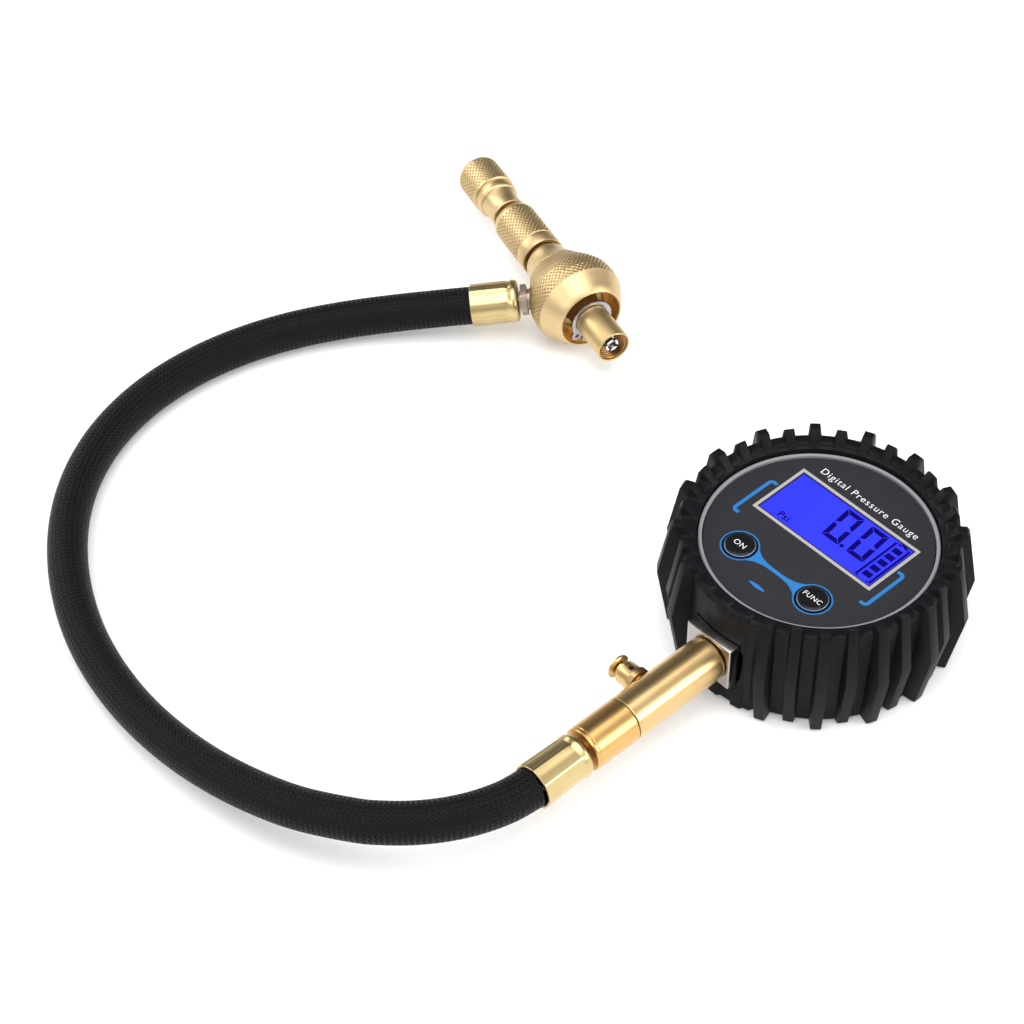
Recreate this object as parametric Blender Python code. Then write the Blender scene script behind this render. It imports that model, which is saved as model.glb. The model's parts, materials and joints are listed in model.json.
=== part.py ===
"""Digital tire pressure gauge: gauge head in a rubber boot, brass stem, rubber hose and brass deflator.

Sizes below are in millimetres and are scaled to metres as each mesh is made. +Z is up. The origin is the
centre of the gauge's back face, on the surface that everything lies on. +Y points to 12 o'clock on the
dial, and the brass stem leaves along -Y. Each turned piece is an outline of (radius, height) points about
the Z axis of the empty it hangs from: stem, bleeder, deflator or port.
"""

import math

import bmesh
import bpy
import numpy as np
from mathutils import Matrix, Vector

MM = 0.001
GAP = 0.3  # clearance between neighbouring pieces

# Number of sides of a turned piece, by its size.
WIDE = 36
MIDDLE = 26
SMALL = 16
TINY = 10

# Gauge head.
RING_R = 35.0
RING_TOP = 35.0
FACE_TOP = 34.2
FACE_R = 33.5
BOOT_TOP = 40.4
LIP_TOP = 37.5  # the boot's rim between two lugs
LUG_COUNT = 32
LUG_PITCH_DEG = 360.0 / LUG_COUNT
LUG_HALF_TIP_DEG = 2.1
LUG_HALF_ROOT_DEG = 2.9
PANEL_DEG = (-112.0, -68.0)  # smooth stretch of the boot round the stem
CASE_R = 35.0
CASE_INNER_R = 33.2
CASE_TOP = 31.2
POCKET_R = 25.6
POCKET_WALL_R = 27.4
POCKET_ROOF = 14.0
BOARD_UNDERSIDE = 26.6
BOARD_TOP = 28.2
POST_R = 3.2
POST_ORBIT = 30.2
POST_DEGREES = (35, 145)
BATTERY_R = 5.25
BATTERY_LENGTH = 44.5
BATTERY_Y = 5.6
BATTERY_Z = 8.0
LCD_CENTRE = (0.0, 7.2)
LCD_SIZE = (46.0, 22.0)
BUTTON_CENTRES = {"on": (-14.3, -18.0), "mode": (14.3, -18.0)}
BUTTON_R = 4.6

# Stem: distances run from the gauge's axis out along the stem.
STEM_Z = 18.0
STEM_R = 6.9
SOCKET_FACE = 43.3
SOCKET_WIDTH = 17.7
SOCKET_HEIGHT = 15.8
TUBE_START = 43.9
TUBE_END = 78.2
SLEEVE_START = 78.5
SLEEVE_END = 94.5
FERRULE_START = 96.0
FERRULE_END = 113.5
BLEEDER_AT = 65.7

# Deflator: distances run from the tube's open end back along its axis to the pull knob.
DEFLATOR_TIP = (-112.74, 28.1, 15.1)
DEFLATOR_HEADING_DEG = 164.24
TUBE_R = 5.65
BELL_R = 15.1
BELL_FRONT = 15.2
BELL_BACK = 46.8
GLAND_FRONT = 48.3
GLAND_BACK = 70.6
GLAND_R = 7.35
KNOB_FRONT = 72.0
KNOB_BACK = 97.0
STOP_RING_AT = 10.3  # it meets the bore's shoulder when the knob is pulled out
CLAW_R = 2.3  # it enters a tyre valve's stem
RING_EAR_DEG = -52.0

# Side port of the collar: square to the collar's cone, a little below level.
PORT_AT = 27.9
PORT_LEAN_DEG = 63.5
PORT_ROLL_DEG = -8.63
PORT_FERRULE_START = 17.4
PORT_FERRULE_END = 32.8

# Hose.
HOSE_R = 6.1
HOSE_ROUTE = [
    (0.0, -113.8, 18.0), (-1.0, -122.2, 18.2), (-3.5, -130.6, 18.5), (-7.3, -138.4, 18.7),
    (-12.3, -145.4, 18.6), (-18.3, -151.5, 18.2), (-25.1, -156.7, 17.6), (-40.1, -164.4, 15.7),
    (-56.1, -169.1, 13.5), (-72.4, -171.7, 11.3), (-88.8, -172.4, 9.3), (-105.0, -171.4, 7.7),
    (-121.0, -168.7, 6.8), (-136.5, -164.2, 6.3), (-151.3, -157.7, 6.3), (-165.1, -149.3, 6.3),
    (-177.6, -139.0, 6.3), (-188.2, -126.8, 6.3), (-196.4, -112.9, 6.3), (-201.8, -97.6, 6.3),
    (-204.2, -81.6, 6.3), (-203.7, -65.5, 6.3), (-200.6, -49.6, 6.3), (-195.0, -34.5, 6.6),
    (-187.2, -20.2, 7.1), (-177.8, -7.0, 8.1), (-167.3, 5.4, 9.7),
]
HOSE_STATIONS = 56


# ---------------------------------------------------------------- helpers


def clear_scene():
    for old in list(bpy.data.objects):
        bpy.data.objects.remove(old, do_unlink=True)


def material(name, colour, roughness, metallic=0.0):
    made = bpy.data.materials.new(name)
    made.use_nodes = True
    shader = made.node_tree.nodes["Principled BSDF"]
    shader.inputs["Base Color"].default_value = (*colour, 1.0)
    shader.inputs["Roughness"].default_value = roughness
    shader.inputs["Metallic"].default_value = metallic
    return made


def finish_object(name, mesh, mat, parent=None, at=(0.0, 0.0, 0.0), smooth=True):
    """Adds a mesh in millimetres as an object in metres, at a place in its parent's frame."""
    for vertex in mesh.vertices:
        vertex.co *= MM
    if smooth:
        mesh.shade_smooth()
        mesh.set_sharp_from_angle(angle=math.radians(35))
    mesh.materials.append(mat)
    made = bpy.data.objects.new(name, mesh)
    bpy.context.scene.collection.objects.link(made)
    made.parent = parent
    made.location = Vector(at) * MM
    return made


def mesh_from(points, faces, name):
    mesh = bpy.data.meshes.new(name)
    mesh.from_pydata([tuple(point) for point in points], [], faces)
    mesh.validate()
    shape = bmesh.new()
    shape.from_mesh(mesh)
    bmesh.ops.recalc_face_normals(shape, faces=shape.faces)
    shape.to_mesh(mesh)
    shape.free()
    return mesh


def turned_mesh(name, outline, sides):
    """The solid made by turning a closed (radius, height) outline about the Z axis."""
    points = []
    rings = []
    for radius, height in outline:
        if radius < 1e-6:
            rings.append([len(points)] * sides)
            points.append((0.0, 0.0, height))
            continue
        rings.append(list(range(len(points), len(points) + sides)))
        for step in range(sides):
            angle = 2 * math.pi * step / sides
            points.append((radius * math.cos(angle), radius * math.sin(angle), height))
    faces = []
    for index, ring in enumerate(rings):
        after = rings[(index + 1) % len(rings)]
        for step in range(sides):
            other = (step + 1) % sides
            corners = [ring[step], ring[other], after[other], after[step]]
            face = list(dict.fromkeys(corners))
            if len(face) > 2:
                faces.append(face)
    return mesh_from(points, faces, name)


def turned(name, outline, sides, mat, parent=None, at=(0.0, 0.0, 0.0)):
    return finish_object(name, turned_mesh(name, outline, sides), mat, parent, at)


def tube_outline(inner, outer, low, high):
    return [(outer, low), (outer, high), (inner, high), (inner, low)]


def ring_outline(centre_radius, height, thickness, steps=8):
    """A round cross-section, as of an O-ring."""
    turns = [2 * math.pi * step / steps for step in range(steps)]
    return [
        (centre_radius + thickness * math.cos(turn), height + thickness * math.sin(turn)) for turn in turns
    ]


def box_mesh(name, low, high):
    corners = [(x, y, z) for x in (low[0], high[0]) for y in (low[1], high[1]) for z in (low[2], high[2])]
    faces = [(0, 1, 3, 2), (4, 6, 7, 5), (0, 4, 5, 1), (2, 3, 7, 6), (0, 2, 6, 4), (1, 5, 7, 3)]
    return mesh_from(corners, faces, name)


def box(name, low, high, mat, parent=None):
    return finish_object(name, box_mesh(name, low, high), mat, parent, smooth=False)


def prism_mesh(name, outline, low, high):
    """The solid made by raising a closed (x, y) outline from low to high."""
    count = len(outline)
    points = [(x, y, low) for x, y in outline] + [(x, y, high) for x, y in outline]
    faces = [tuple(range(count)), tuple(range(count, 2 * count))]
    for step in range(count):
        other = (step + 1) % count
        faces.append((step, other, other + count, step + count))
    return mesh_from(points, faces, name)


def combine(target, tool_mesh, operation, parent=None, at=(0.0, 0.0, 0.0), turn=None):
    """Cuts or joins a hidden helper shape, placed in the target's parent frame."""
    helper = finish_object(tool_mesh.name + "_tool", tool_mesh, CUTTER, parent, at)
    if turn is not None:
        helper.rotation_euler = turn
    helper.hide_render = True
    helper.display_type = "WIRE"
    step = target.modifiers.new(tool_mesh.name, "BOOLEAN")
    step.operation = operation
    step.object = helper


def axis_empty(name, origin, z_axis, x_hint):
    """An empty whose Z axis is a joint's axis."""
    z_axis = Vector(z_axis).normalized()
    x_axis = Vector(x_hint) - Vector(x_hint).dot(z_axis) * z_axis
    x_axis.normalize()
    y_axis = z_axis.cross(x_axis)
    turn = Matrix((x_axis, y_axis, z_axis)).transposed().to_4x4()
    made = bpy.data.objects.new(name, None)
    made.empty_display_size = 0.01
    made.matrix_world = Matrix.Translation(Vector(origin) * MM) @ turn
    bpy.context.scene.collection.objects.link(made)
    return made


# ---------------------------------------------------------------- gauge head


def lug_columns():
    """Angle and profile name of each column of the boot's wall, going round once."""
    columns = []
    for index in range(LUG_COUNT):
        centre = LUG_PITCH_DEG * index
        tall = index % 2 == 0
        signed = (centre + 180.0) % 360.0 - 180.0
        on_panel = PANEL_DEG[0] < signed < PANEL_DEG[1]
        root = "panel" if on_panel else "wall"
        crest = "bump" if on_panel else "tall" if tall else "short"
        columns.append((centre - LUG_HALF_ROOT_DEG, root))
        columns.append((centre - LUG_HALF_TIP_DEG, crest))
        columns.append((centre + LUG_HALF_TIP_DEG, crest))
        columns.append((centre + LUG_HALF_ROOT_DEG, root))
    return columns


def boot_profiles():
    """Closed (radius, height) profiles of the boot between lugs, on its panel and at each kind of lug."""
    inside = [(35.4, 36.2), (35.4, 2.3), (29.0, 2.3), (29.0, 0.0)]
    lip = [(40.3, 37.2), (39.5, LIP_TOP), (36.7, 36.7)]
    bump = [(40.4, 38.0), (39.4, 38.4), (36.7, 37.2)]
    crown = [(39.0, BOOT_TOP), (36.7, 37.3)]
    return {
        "wall": [(38.8, 0.0), (39.8, 20.5), (40.5, 36.6)] + lip + inside,
        "panel": [(40.9, 0.0), (41.2, 20.5), (40.9, 36.4)] + lip + inside,
        "bump": [(41.8, 0.0), (41.2, 20.5), (41.0, 36.6)] + bump + inside,
        "short": [(40.6, 0.0), (44.2, 20.2), (40.9, 39.3), (40.0, BOOT_TOP)] + crown + inside,
        "tall": [(42.6, 0.0), (46.3, 20.8), (43.0, 39.0), (42.0, BOOT_TOP)] + crown + inside,
    }


def make_boot():
    profiles = boot_profiles()
    points = []
    columns = lug_columns()
    rows = len(profiles["wall"])
    for angle, kind in columns:
        turn = math.radians(angle)
        for radius, height in profiles[kind]:
            points.append((radius * math.cos(turn), radius * math.sin(turn), height))
    faces = []
    for column in range(len(columns)):
        here = column * rows
        there = (column + 1) % len(columns) * rows
        for row in range(rows):
            below = (row + 1) % rows
            faces.append((here + row, there + row, there + below, here + below))
    boot = finish_object("rubber_boot", mesh_from(points, faces, "rubber_boot"), RUBBER)
    half_width = SOCKET_WIDTH / 2 + GAP
    half_height = SOCKET_HEIGHT / 2 + GAP
    opening = box_mesh(
        "boot_socket_opening",
        (-half_width, -50.0, STEM_Z - half_height),
        (half_width, -30.0, STEM_Z + half_height),
    )
    combine(boot, opening, "DIFFERENCE")


def make_case():
    outline = [
        (POCKET_R, 0.0), (28.7, 0.0), (28.7, 2.6),
        (CASE_R, 2.6), (CASE_R, CASE_TOP), (CASE_INNER_R, CASE_TOP),
        (CASE_INNER_R, 4.4), (POCKET_WALL_R, 4.4), (POCKET_WALL_R, POCKET_ROOF + 1.6),
        (0.0, POCKET_ROOF + 1.6), (0.0, POCKET_ROOF), (POCKET_R, POCKET_ROOF),
    ]
    case = turned("gauge_case", outline, WIDE, CASE_PLASTIC)
    half_width = SOCKET_WIDTH / 2 + GAP
    half_height = SOCKET_HEIGHT / 2 + GAP
    opening = box_mesh(
        "case_socket_opening",
        (-half_width, -40.0, STEM_Z - half_height),
        (half_width, -29.0, STEM_Z + half_height),
    )
    combine(case, opening, "DIFFERENCE")
    for number, degrees in enumerate(POST_DEGREES, 1):
        turn = math.radians(degrees)
        outline = tube_outline(1.3, POST_R, 3.6, BOARD_UNDERSIDE - GAP)
        post = turned_mesh(f"board_post_{number}", outline, TINY)
        combine(case, post, "UNION", at=(POST_ORBIT * math.cos(turn), POST_ORBIT * math.sin(turn), 0.0))
    cover_post = turned_mesh("cover_post", tube_outline(1.1, 2.6, 2.1, POCKET_ROOF + 0.6), TINY)
    combine(case, cover_post, "UNION", at=(0.0, 19.0, 0.0))


def make_case_closure():
    turned("case_gasket", tube_outline(33.6, 34.8, CASE_TOP + GAP, 32.2), WIDE, RUBBER)
    ring = [
        (RING_R, 32.5), (RING_R, RING_TOP - 0.3), (RING_R - 0.3, RING_TOP), (RING_R - 1.0, RING_TOP),
        (RING_R - 1.2, RING_TOP - 0.2), (RING_R - 1.2, 32.5),
    ]
    turned("bezel_ring", ring, WIDE, SILVER)


def make_face_plate():
    face = turned("face_plate", tube_outline(0.0, FACE_R, 32.4, FACE_TOP), WIDE, FACE_BLACK)
    half_x = LCD_SIZE[0] / 2 - 1.4
    half_y = LCD_SIZE[1] / 2 - 1.4
    window = box_mesh(
        "display_opening",
        (LCD_CENTRE[0] - half_x, LCD_CENTRE[1] - half_y, 31.0),
        (LCD_CENTRE[0] + half_x, LCD_CENTRE[1] + half_y, 36.0),
    )
    combine(face, window, "DIFFERENCE")
    for name, (x, y) in BUTTON_CENTRES.items():
        hole = turned_mesh(f"{name}_button_hole", tube_outline(0.0, BUTTON_R + GAP, 31.0, 36.0), SMALL)
        combine(face, hole, "DIFFERENCE", at=(x, y, 0.0))


def make_display():
    half_x = LCD_SIZE[0] / 2 - 1.4 - GAP
    half_y = LCD_SIZE[1] / 2 - 1.4 - GAP
    x, y = LCD_CENTRE
    box("display_window", (x - half_x, y - half_y, 32.7), (x + half_x, y + half_y, FACE_TOP - 0.2), WINDOW)
    low = (x - half_x - 0.8, y - half_y - 0.8, 28.6)
    high = (x + half_x + 0.8, y + half_y + 0.8, 32.0)
    box("lcd_module", low, high, LCD)


def make_board():
    board = turned("circuit_board", tube_outline(0.0, 32.6, BOARD_UNDERSIDE, BOARD_TOP), WIDE, BOARD_GREEN)
    for number, degrees in enumerate(POST_DEGREES, 1):
        turn = math.radians(degrees)
        place = (POST_ORBIT * math.cos(turn), POST_ORBIT * math.sin(turn), 0.0)
        hole = turned_mesh(f"board_hole_{number}", tube_outline(0.0, 1.3, 25.0, 30.0), TINY)
        combine(board, hole, "DIFFERENCE", at=place)
        screw = [
            (0.0, 20.0), (0.9, 20.4), (0.9, BOARD_TOP + GAP), (2.0, BOARD_TOP + GAP), (2.0, BOARD_TOP + 1.2),
            (1.5, BOARD_TOP + 1.6), (0.0, BOARD_TOP + 1.6),
        ]
        turned(f"board_screw_{number}", screw, TINY, STEEL, at=place)


def make_buttons():
    for name, (x, y) in BUTTON_CENTRES.items():
        cap = [
            (0.0, 31.2), (BUTTON_R + 0.7, 31.2), (BUTTON_R + 0.7, 32.0), (BUTTON_R, 32.0),
            (BUTTON_R, FACE_TOP + 0.3), (BUTTON_R - 0.5, FACE_TOP + 0.7), (0.0, FACE_TOP + 0.8),
        ]
        turned(f"{name}_button", cap, SMALL, FACE_BLACK, at=(x, y, 0.0))
        base = box_mesh(f"{name}_switch", (-3.0, -3.0, BOARD_TOP + GAP), (3.0, 3.0, 30.0))
        switch = finish_object(f"{name}_switch", base, CASE_PLASTIC, at=(x, y, 0.0), smooth=False)
        plunger = turned_mesh(f"{name}_plunger", tube_outline(0.0, 1.6, 29.0, 30.5), TINY)
        combine(switch, plunger, "UNION", at=(x, y, 0.0))


def make_batteries():
    half = BATTERY_LENGTH / 2
    end = half - 1.0
    cell = [
        (0.0, -half), (4.2, -half), (BATTERY_R, -half + 0.6), (BATTERY_R, end - 0.6), (4.4, end),
        (1.9, end), (1.9, half), (0.0, half),
    ]
    for number, side in ((1, 1), (2, -1)):
        battery = turned(f"battery_{number}", cell, SMALL, BATTERY, at=(0.0, side * BATTERY_Y, BATTERY_Z))
        battery.rotation_euler = (0.0, side * math.pi / 2, 0.0)
        face = side * (half + GAP)
        plate = sorted((face, face + side * 0.4))
        box(f"battery_contact_{number}", (plate[0], -9.6, 3.6), (plate[1], 9.6, 12.4), STEEL)


def make_battery_cover():
    cover = turned("battery_cover", tube_outline(0.0, POCKET_R - GAP, 0.0, 1.7), WIDE, CASE_PLASTIC)
    hole = turned_mesh("cover_screw_hole", tube_outline(0.0, 2.4, -1.0, 2.5), TINY)
    combine(cover, hole, "DIFFERENCE", at=(0.0, 19.0, 0.0))
    screw = [(0.0, 0.3), (2.0, 0.3), (2.0, 1.4), (0.8, 1.6), (0.8, 8.0), (0.0, 8.4)]
    turned("battery_cover_screw", screw, TINY, STEEL, at=(0.0, 19.0, 0.0))


def make_sensor():
    can = [(0.0, 23.4), (3.4, 23.4), (3.9, 23.8), (3.9, 28.6), (2.0, 28.6), (2.0, 29.9), (0.6, 29.9),
           (0.6, 26.0), (0.0, 26.0)]
    turned("pressure_sensor", can, SMALL, STEEL, STEM, at=(0.0, 3.0, 0.0))


# ---------------------------------------------------------------- stem


def make_socket():
    low = (-SOCKET_WIDTH / 2, -SOCKET_HEIGHT / 2, 30.2)
    high = (SOCKET_WIDTH / 2, SOCKET_HEIGHT / 2, SOCKET_FACE)
    socket = finish_object("gauge_socket", box_mesh("gauge_socket", low, high), NICKEL, STEM, smooth=False)
    bore = turned_mesh("socket_bore", tube_outline(0.0, 5.0, 34.0, 50.0), SMALL)
    combine(socket, bore, "DIFFERENCE", STEM)
    channel = turned_mesh("socket_channel", tube_outline(0.0, 0.8, 20.0, 40.0), TINY)
    combine(socket, channel, "DIFFERENCE", STEM, at=(0.0, 3.0, 0.0))


def make_stem_tube():
    outline = [
        (4.6, 34.6), (4.6, TUBE_START), (6.2, TUBE_START), (STEM_R, TUBE_START + 0.9), (STEM_R, TUBE_END),
        (5.1, TUBE_END), (5.1, 85.2), (3.0, 85.2), (3.0, 34.6),
    ]
    tube = turned("stem_tube", outline, MIDDLE, BRASS, STEM)
    hole = turned_mesh("bleeder_hole", tube_outline(0.0, 3.0, 0.0, 12.0), SMALL)
    combine(tube, hole, "DIFFERENCE", BLEEDER)


def make_swivel():
    sleeve = [
        (STEM_R - 0.4, SLEEVE_START), (STEM_R, SLEEVE_START + 0.4), (STEM_R, SLEEVE_END - 0.6),
        (STEM_R - 0.6, SLEEVE_END), (3.5, SLEEVE_END), (3.5, 92.6), (5.5, 92.6), (5.5, SLEEVE_START),
    ]
    turned("swivel_sleeve", sleeve, MIDDLE, BRASS, STEM)
    turned("swivel_seal", ring_outline(3.9, 86.3, 0.7), SMALL, RUBBER, STEM)
    nipple = [
        (4.8, 87.4), (4.8, 92.2), (3.1, 92.2), (3.1, FERRULE_START + 1.8), (3.7, FERRULE_START + 2.8),
        (3.2, FERRULE_START + 5.5), (3.7, FERRULE_START + 6.0), (3.2, FERRULE_START + 9.5),
        (3.7, FERRULE_START + 10.0), (3.0, FERRULE_START + 14.5), (1.7, FERRULE_START + 14.5), (1.7, 87.4),
    ]
    turned("swivel_nipple", nipple, SMALL, BRASS, STEM)


def ferrule_outline(start, end, shoulder_r, mouth_r, neck_r):
    """A crimped cup: closed round the nipple at its start, open to the hose at its end."""
    return [
        (neck_r, start), (shoulder_r - 1.3, start), (shoulder_r - 0.2, start + 1.0),
        (shoulder_r, start + 2.0), (shoulder_r - 0.25, start + 3.4), (mouth_r - 0.25, end - 0.8),
        (mouth_r, end), (mouth_r - 0.6, end), (shoulder_r - 0.75, start + 3.4),
        (shoulder_r - 0.9, start + 1.5), (neck_r, start + 1.5),
    ]


def make_ferrule_at_gauge():
    outline = ferrule_outline(FERRULE_START, FERRULE_END, 6.9, 7.1, 3.4)
    turned("gauge_end_ferrule", outline, MIDDLE, BRASS, STEM)


def make_bleeder():
    body = [
        (2.7, 4.0), (2.7, 7.1), (4.1, 7.3), (4.1, 8.4), (3.7, 8.5), (3.7, 12.6), (3.4, 13.0), (2.4, 13.0),
        (2.4, 6.2), (1.1, 6.2), (1.1, 4.0),
    ]
    valve_body = turned("bleeder_body", body, SMALL, BRASS, BLEEDER)
    vent = turned_mesh("bleeder_vent", tube_outline(0.0, 0.6, 0.0, 6.0), TINY)
    combine(valve_body, vent, "DIFFERENCE", BLEEDER, at=(0.0, 0.0, 10.6), turn=(math.pi / 2, 0.0, 0.0))
    button = [
        (0.0, 2.5), (0.7, 2.5), (0.7, 9.4), (2.0, 9.4), (2.0, 14.2), (3.6, 14.2), (3.85, 14.5), (3.85, 15.4),
        (3.6, 15.7), (0.0, 15.7),
    ]
    turned("bleed_button", button, SMALL, BRASS, BLEEDER)
    turned("bleed_spring", tube_outline(1.0, 2.0, 6.5, 8.0), TINY, STEEL, BLEEDER)
    turned("bleed_seal", tube_outline(1.0, 1.9, 2.6, 3.5), TINY, RUBBER, BLEEDER)


# ---------------------------------------------------------------- hose


def smooth_route(points, stations):
    """Evenly spaced points on the Catmull-Rom curve through a route's points."""
    route = np.array(points)
    padded = np.vstack([2 * route[0] - route[1], route, 2 * route[-1] - route[-2]])
    fine = []
    for index in range(len(route) - 1):
        before, start, end, after = padded[index : index + 4]
        for part in np.linspace(0.0, 1.0, 12, endpoint=False):
            fine.append(
                0.5
                * (
                    2 * start
                    + (end - before) * part
                    + (2 * before - 5 * start + 4 * end - after) * part**2
                    + (3 * start - 3 * end + after - before) * part**3
                )
            )
    fine = np.array(fine + [route[-1]])
    travelled = np.concatenate([[0.0], np.cumsum(np.linalg.norm(np.diff(fine, axis=0), axis=1))])
    even = np.linspace(0.0, travelled[-1], stations)
    return np.stack([np.interp(even, travelled, fine[:, axis]) for axis in range(3)], axis=1)


def make_hose():
    end = PORT.matrix_world @ Vector((0.0, 0.0, (PORT_FERRULE_END + GAP) * MM))
    route = HOSE_ROUTE + [tuple(end / MM)]
    points = smooth_route(route, HOSE_STATIONS)
    curve = bpy.data.curves.new("hose", "CURVE")
    curve.dimensions = "3D"
    curve.bevel_depth = HOSE_R * MM
    curve.bevel_resolution = 2
    curve.use_fill_caps = True
    spline = curve.splines.new("POLY")
    spline.points.add(len(points) - 1)
    for target, point in zip(spline.points, points):
        target.co = (*(point * MM), 1.0)
    curve.materials.append(RUBBER)
    hose = bpy.data.objects.new("hose", curve)
    bpy.context.scene.collection.objects.link(hose)


# ---------------------------------------------------------------- deflator


def make_port():
    ring = [
        (3.4, 9.4), (3.4, 14.7), (4.8, 14.7), (5.05, 14.9),
        (5.05, 16.4), (4.8, 16.6), (2.2, 16.6), (2.2, 9.4),
    ]
    turned("port_fitting", ring, SMALL, NICKEL, PORT)
    start = PORT_FERRULE_START
    nipple = [
        (1.9, 9.6), (1.9, start + 1.8), (3.7, start + 2.8), (3.2, start + 5.0), (3.7, start + 5.5),
        (3.2, start + 8.5), (3.7, start + 9.0), (3.0, start + 13.0), (1.0, start + 13.0), (1.0, 9.6),
    ]
    turned("port_nipple", nipple, SMALL, BRASS, PORT)
    outline = ferrule_outline(start, PORT_FERRULE_END, 6.95, 6.9, 2.2)
    turned("deflator_end_ferrule", outline, MIDDLE, BRASS, PORT)


def make_slide_collar():
    outline = [
        (9.7, BELL_FRONT), (10.3, BELL_FRONT), (14.7, 22.3), (BELL_R, 25.5), (14.8, 29.0), (13.6, 32.0),
        (11.9, 35.2), (9.9, 38.6), (7.9, 42.7), (7.1, 45.6), (6.7, BELL_BACK), (6.0, BELL_BACK),
        (6.0, 30.2), (7.2, 29.6), (7.2, 26.4), (6.0, 25.8), (6.0, 22.2), (7.9, 22.2), (7.9, 21.0),
        (9.5, 21.0),
    ]
    collar = turned("slide_collar", outline, MIDDLE, BRASS, DEFLATOR)
    port_hole = turned_mesh("collar_port_hole", tube_outline(0.0, 3.7, 6.8, 25.0), SMALL)
    combine(collar, port_hole, "DIFFERENCE", PORT)


def make_deflator_body():
    outline = [
        (4.6, 0.0), (5.35, 0.0), (TUBE_R, 0.3), (TUBE_R, 15.4), (4.8, 15.4), (4.8, 16.8), (TUBE_R, 16.8),
        (TUBE_R, 23.2), (4.3, 23.2), (4.3, 25.2), (TUBE_R, 25.2), (TUBE_R, 30.8), (4.3, 30.8), (4.3, 32.8),
        (TUBE_R, 32.8), (TUBE_R, 48.0), (5.2, 48.3), (5.2, 62.4), (4.0, 62.4), (4.0, 54.0), (2.0, 54.0),
        (2.0, 34.5), (3.1, 34.5), (3.1, 9.9), (4.1, 9.9), (4.1, 0.6),
    ]
    body = turned("deflator_body", outline, MIDDLE, BRASS, DEFLATOR)
    hole = turned_mesh("air_hole", tube_outline(0.0, 1.2, -12.0, 12.0), TINY)
    combine(body, hole, "DIFFERENCE", DEFLATOR, at=(0.0, 0.0, 27.9), turn=(0.0, math.pi / 2, 0.0))


def make_deflator_seals():
    turned("front_collar_seal", ring_outline(5.1, 24.2, 0.6), SMALL, RUBBER, DEFLATOR)
    turned("rear_collar_seal", ring_outline(5.1, 31.8, 0.6), SMALL, RUBBER, DEFLATOR)
    turned("valve_seal", tube_outline(2.9, 3.8, 8.6, 9.6), SMALL, RUBBER, DEFLATOR)
    turned("rod_seal", tube_outline(1.95, 3.7, 55.0, 61.0), SMALL, RUBBER, DEFLATOR)


def make_retaining_ring():
    """An open ring with two eared ends, in the tube's groove."""
    inner, outer, ear_r = 5.15, 7.5, 1.5
    ear_orbit = 7.8
    opening = math.radians(16)
    steps = 22
    spread = [opening + (2 * math.pi - 2 * opening) * step / steps for step in range(steps + 1)]
    arc = [(outer * math.cos(turn), outer * math.sin(turn)) for turn in spread]
    back = [(inner * math.cos(turn), inner * math.sin(turn)) for turn in reversed(spread)]
    made = prism_mesh("retaining_ring", arc + back, 15.7, 16.5)
    ring = finish_object("retaining_ring", made, STEEL, DEFLATOR, smooth=False)
    ring.rotation_euler = (0.0, 0.0, math.radians(RING_EAR_DEG))
    for number, side in ((1, 1), (2, -1)):
        turn = math.radians(RING_EAR_DEG) + side * (opening + 0.13)
        place = (ear_orbit * math.cos(turn), ear_orbit * math.sin(turn), 0.0)
        ear = turned_mesh(f"ring_ear_{number}", tube_outline(0.5, ear_r, 15.75, 16.45), TINY)
        combine(ring, ear, "UNION", DEFLATOR, at=place)


def make_gland_nut():
    outline = [
        (6.9, GLAND_FRONT), (GLAND_R, GLAND_FRONT + 0.5), (GLAND_R, 52.8), (GLAND_R - 0.25, 53.1),
        (GLAND_R, 53.4), (GLAND_R, 67.4), (6.9, 68.9), (5.7, GLAND_BACK), (2.0, GLAND_BACK), (2.0, 64.0),
        (5.5, 64.0), (5.5, GLAND_FRONT),
    ]
    turned("gland_nut", outline, MIDDLE, BRASS, DEFLATOR)


def make_pull_rod():
    turned("core_rod", [(0.0, 9.0), (1.6, 9.0), (1.6, 89.0), (0.0, 89.0)], TINY, STEEL, DEFLATOR)
    knob = [
        (5.5, KNOB_FRONT), (5.9, KNOB_FRONT + 0.2), (5.8, KNOB_FRONT + 0.9), (5.75, 75.5), (6.0, 78.0),
        (6.45, 79.7), (6.95, 80.6), (6.95, 83.4), (GLAND_R, 84.0), (GLAND_R, 94.7), (6.9, 96.2),
        (6.0, KNOB_BACK), (0.0, KNOB_BACK + 0.2), (0.0, 89.4), (1.9, 89.4), (1.9, KNOB_FRONT),
    ]
    turned("pull_knob", knob, MIDDLE, BRASS, DEFLATOR)
    turned("rod_stop_ring", tube_outline(1.9, 2.8, STOP_RING_AT, STOP_RING_AT + 1.0), TINY, STEEL, DEFLATOR)
    outline = [(CLAW_R, 1.2), (CLAW_R, 8.6), (0.0, 8.6), (0.0, 5.0), (1.6, 5.0), (1.6, 1.2)]
    claw = turned("core_claw", outline, SMALL, CHROME, DEFLATOR)
    slot = box_mesh("claw_slot", (-4.0, -0.7, 0.0), (4.0, 0.7, 4.4))
    combine(claw, slot, "DIFFERENCE", DEFLATOR)


# ---------------------------------------------------------------- materials and axes

clear_scene()

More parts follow.
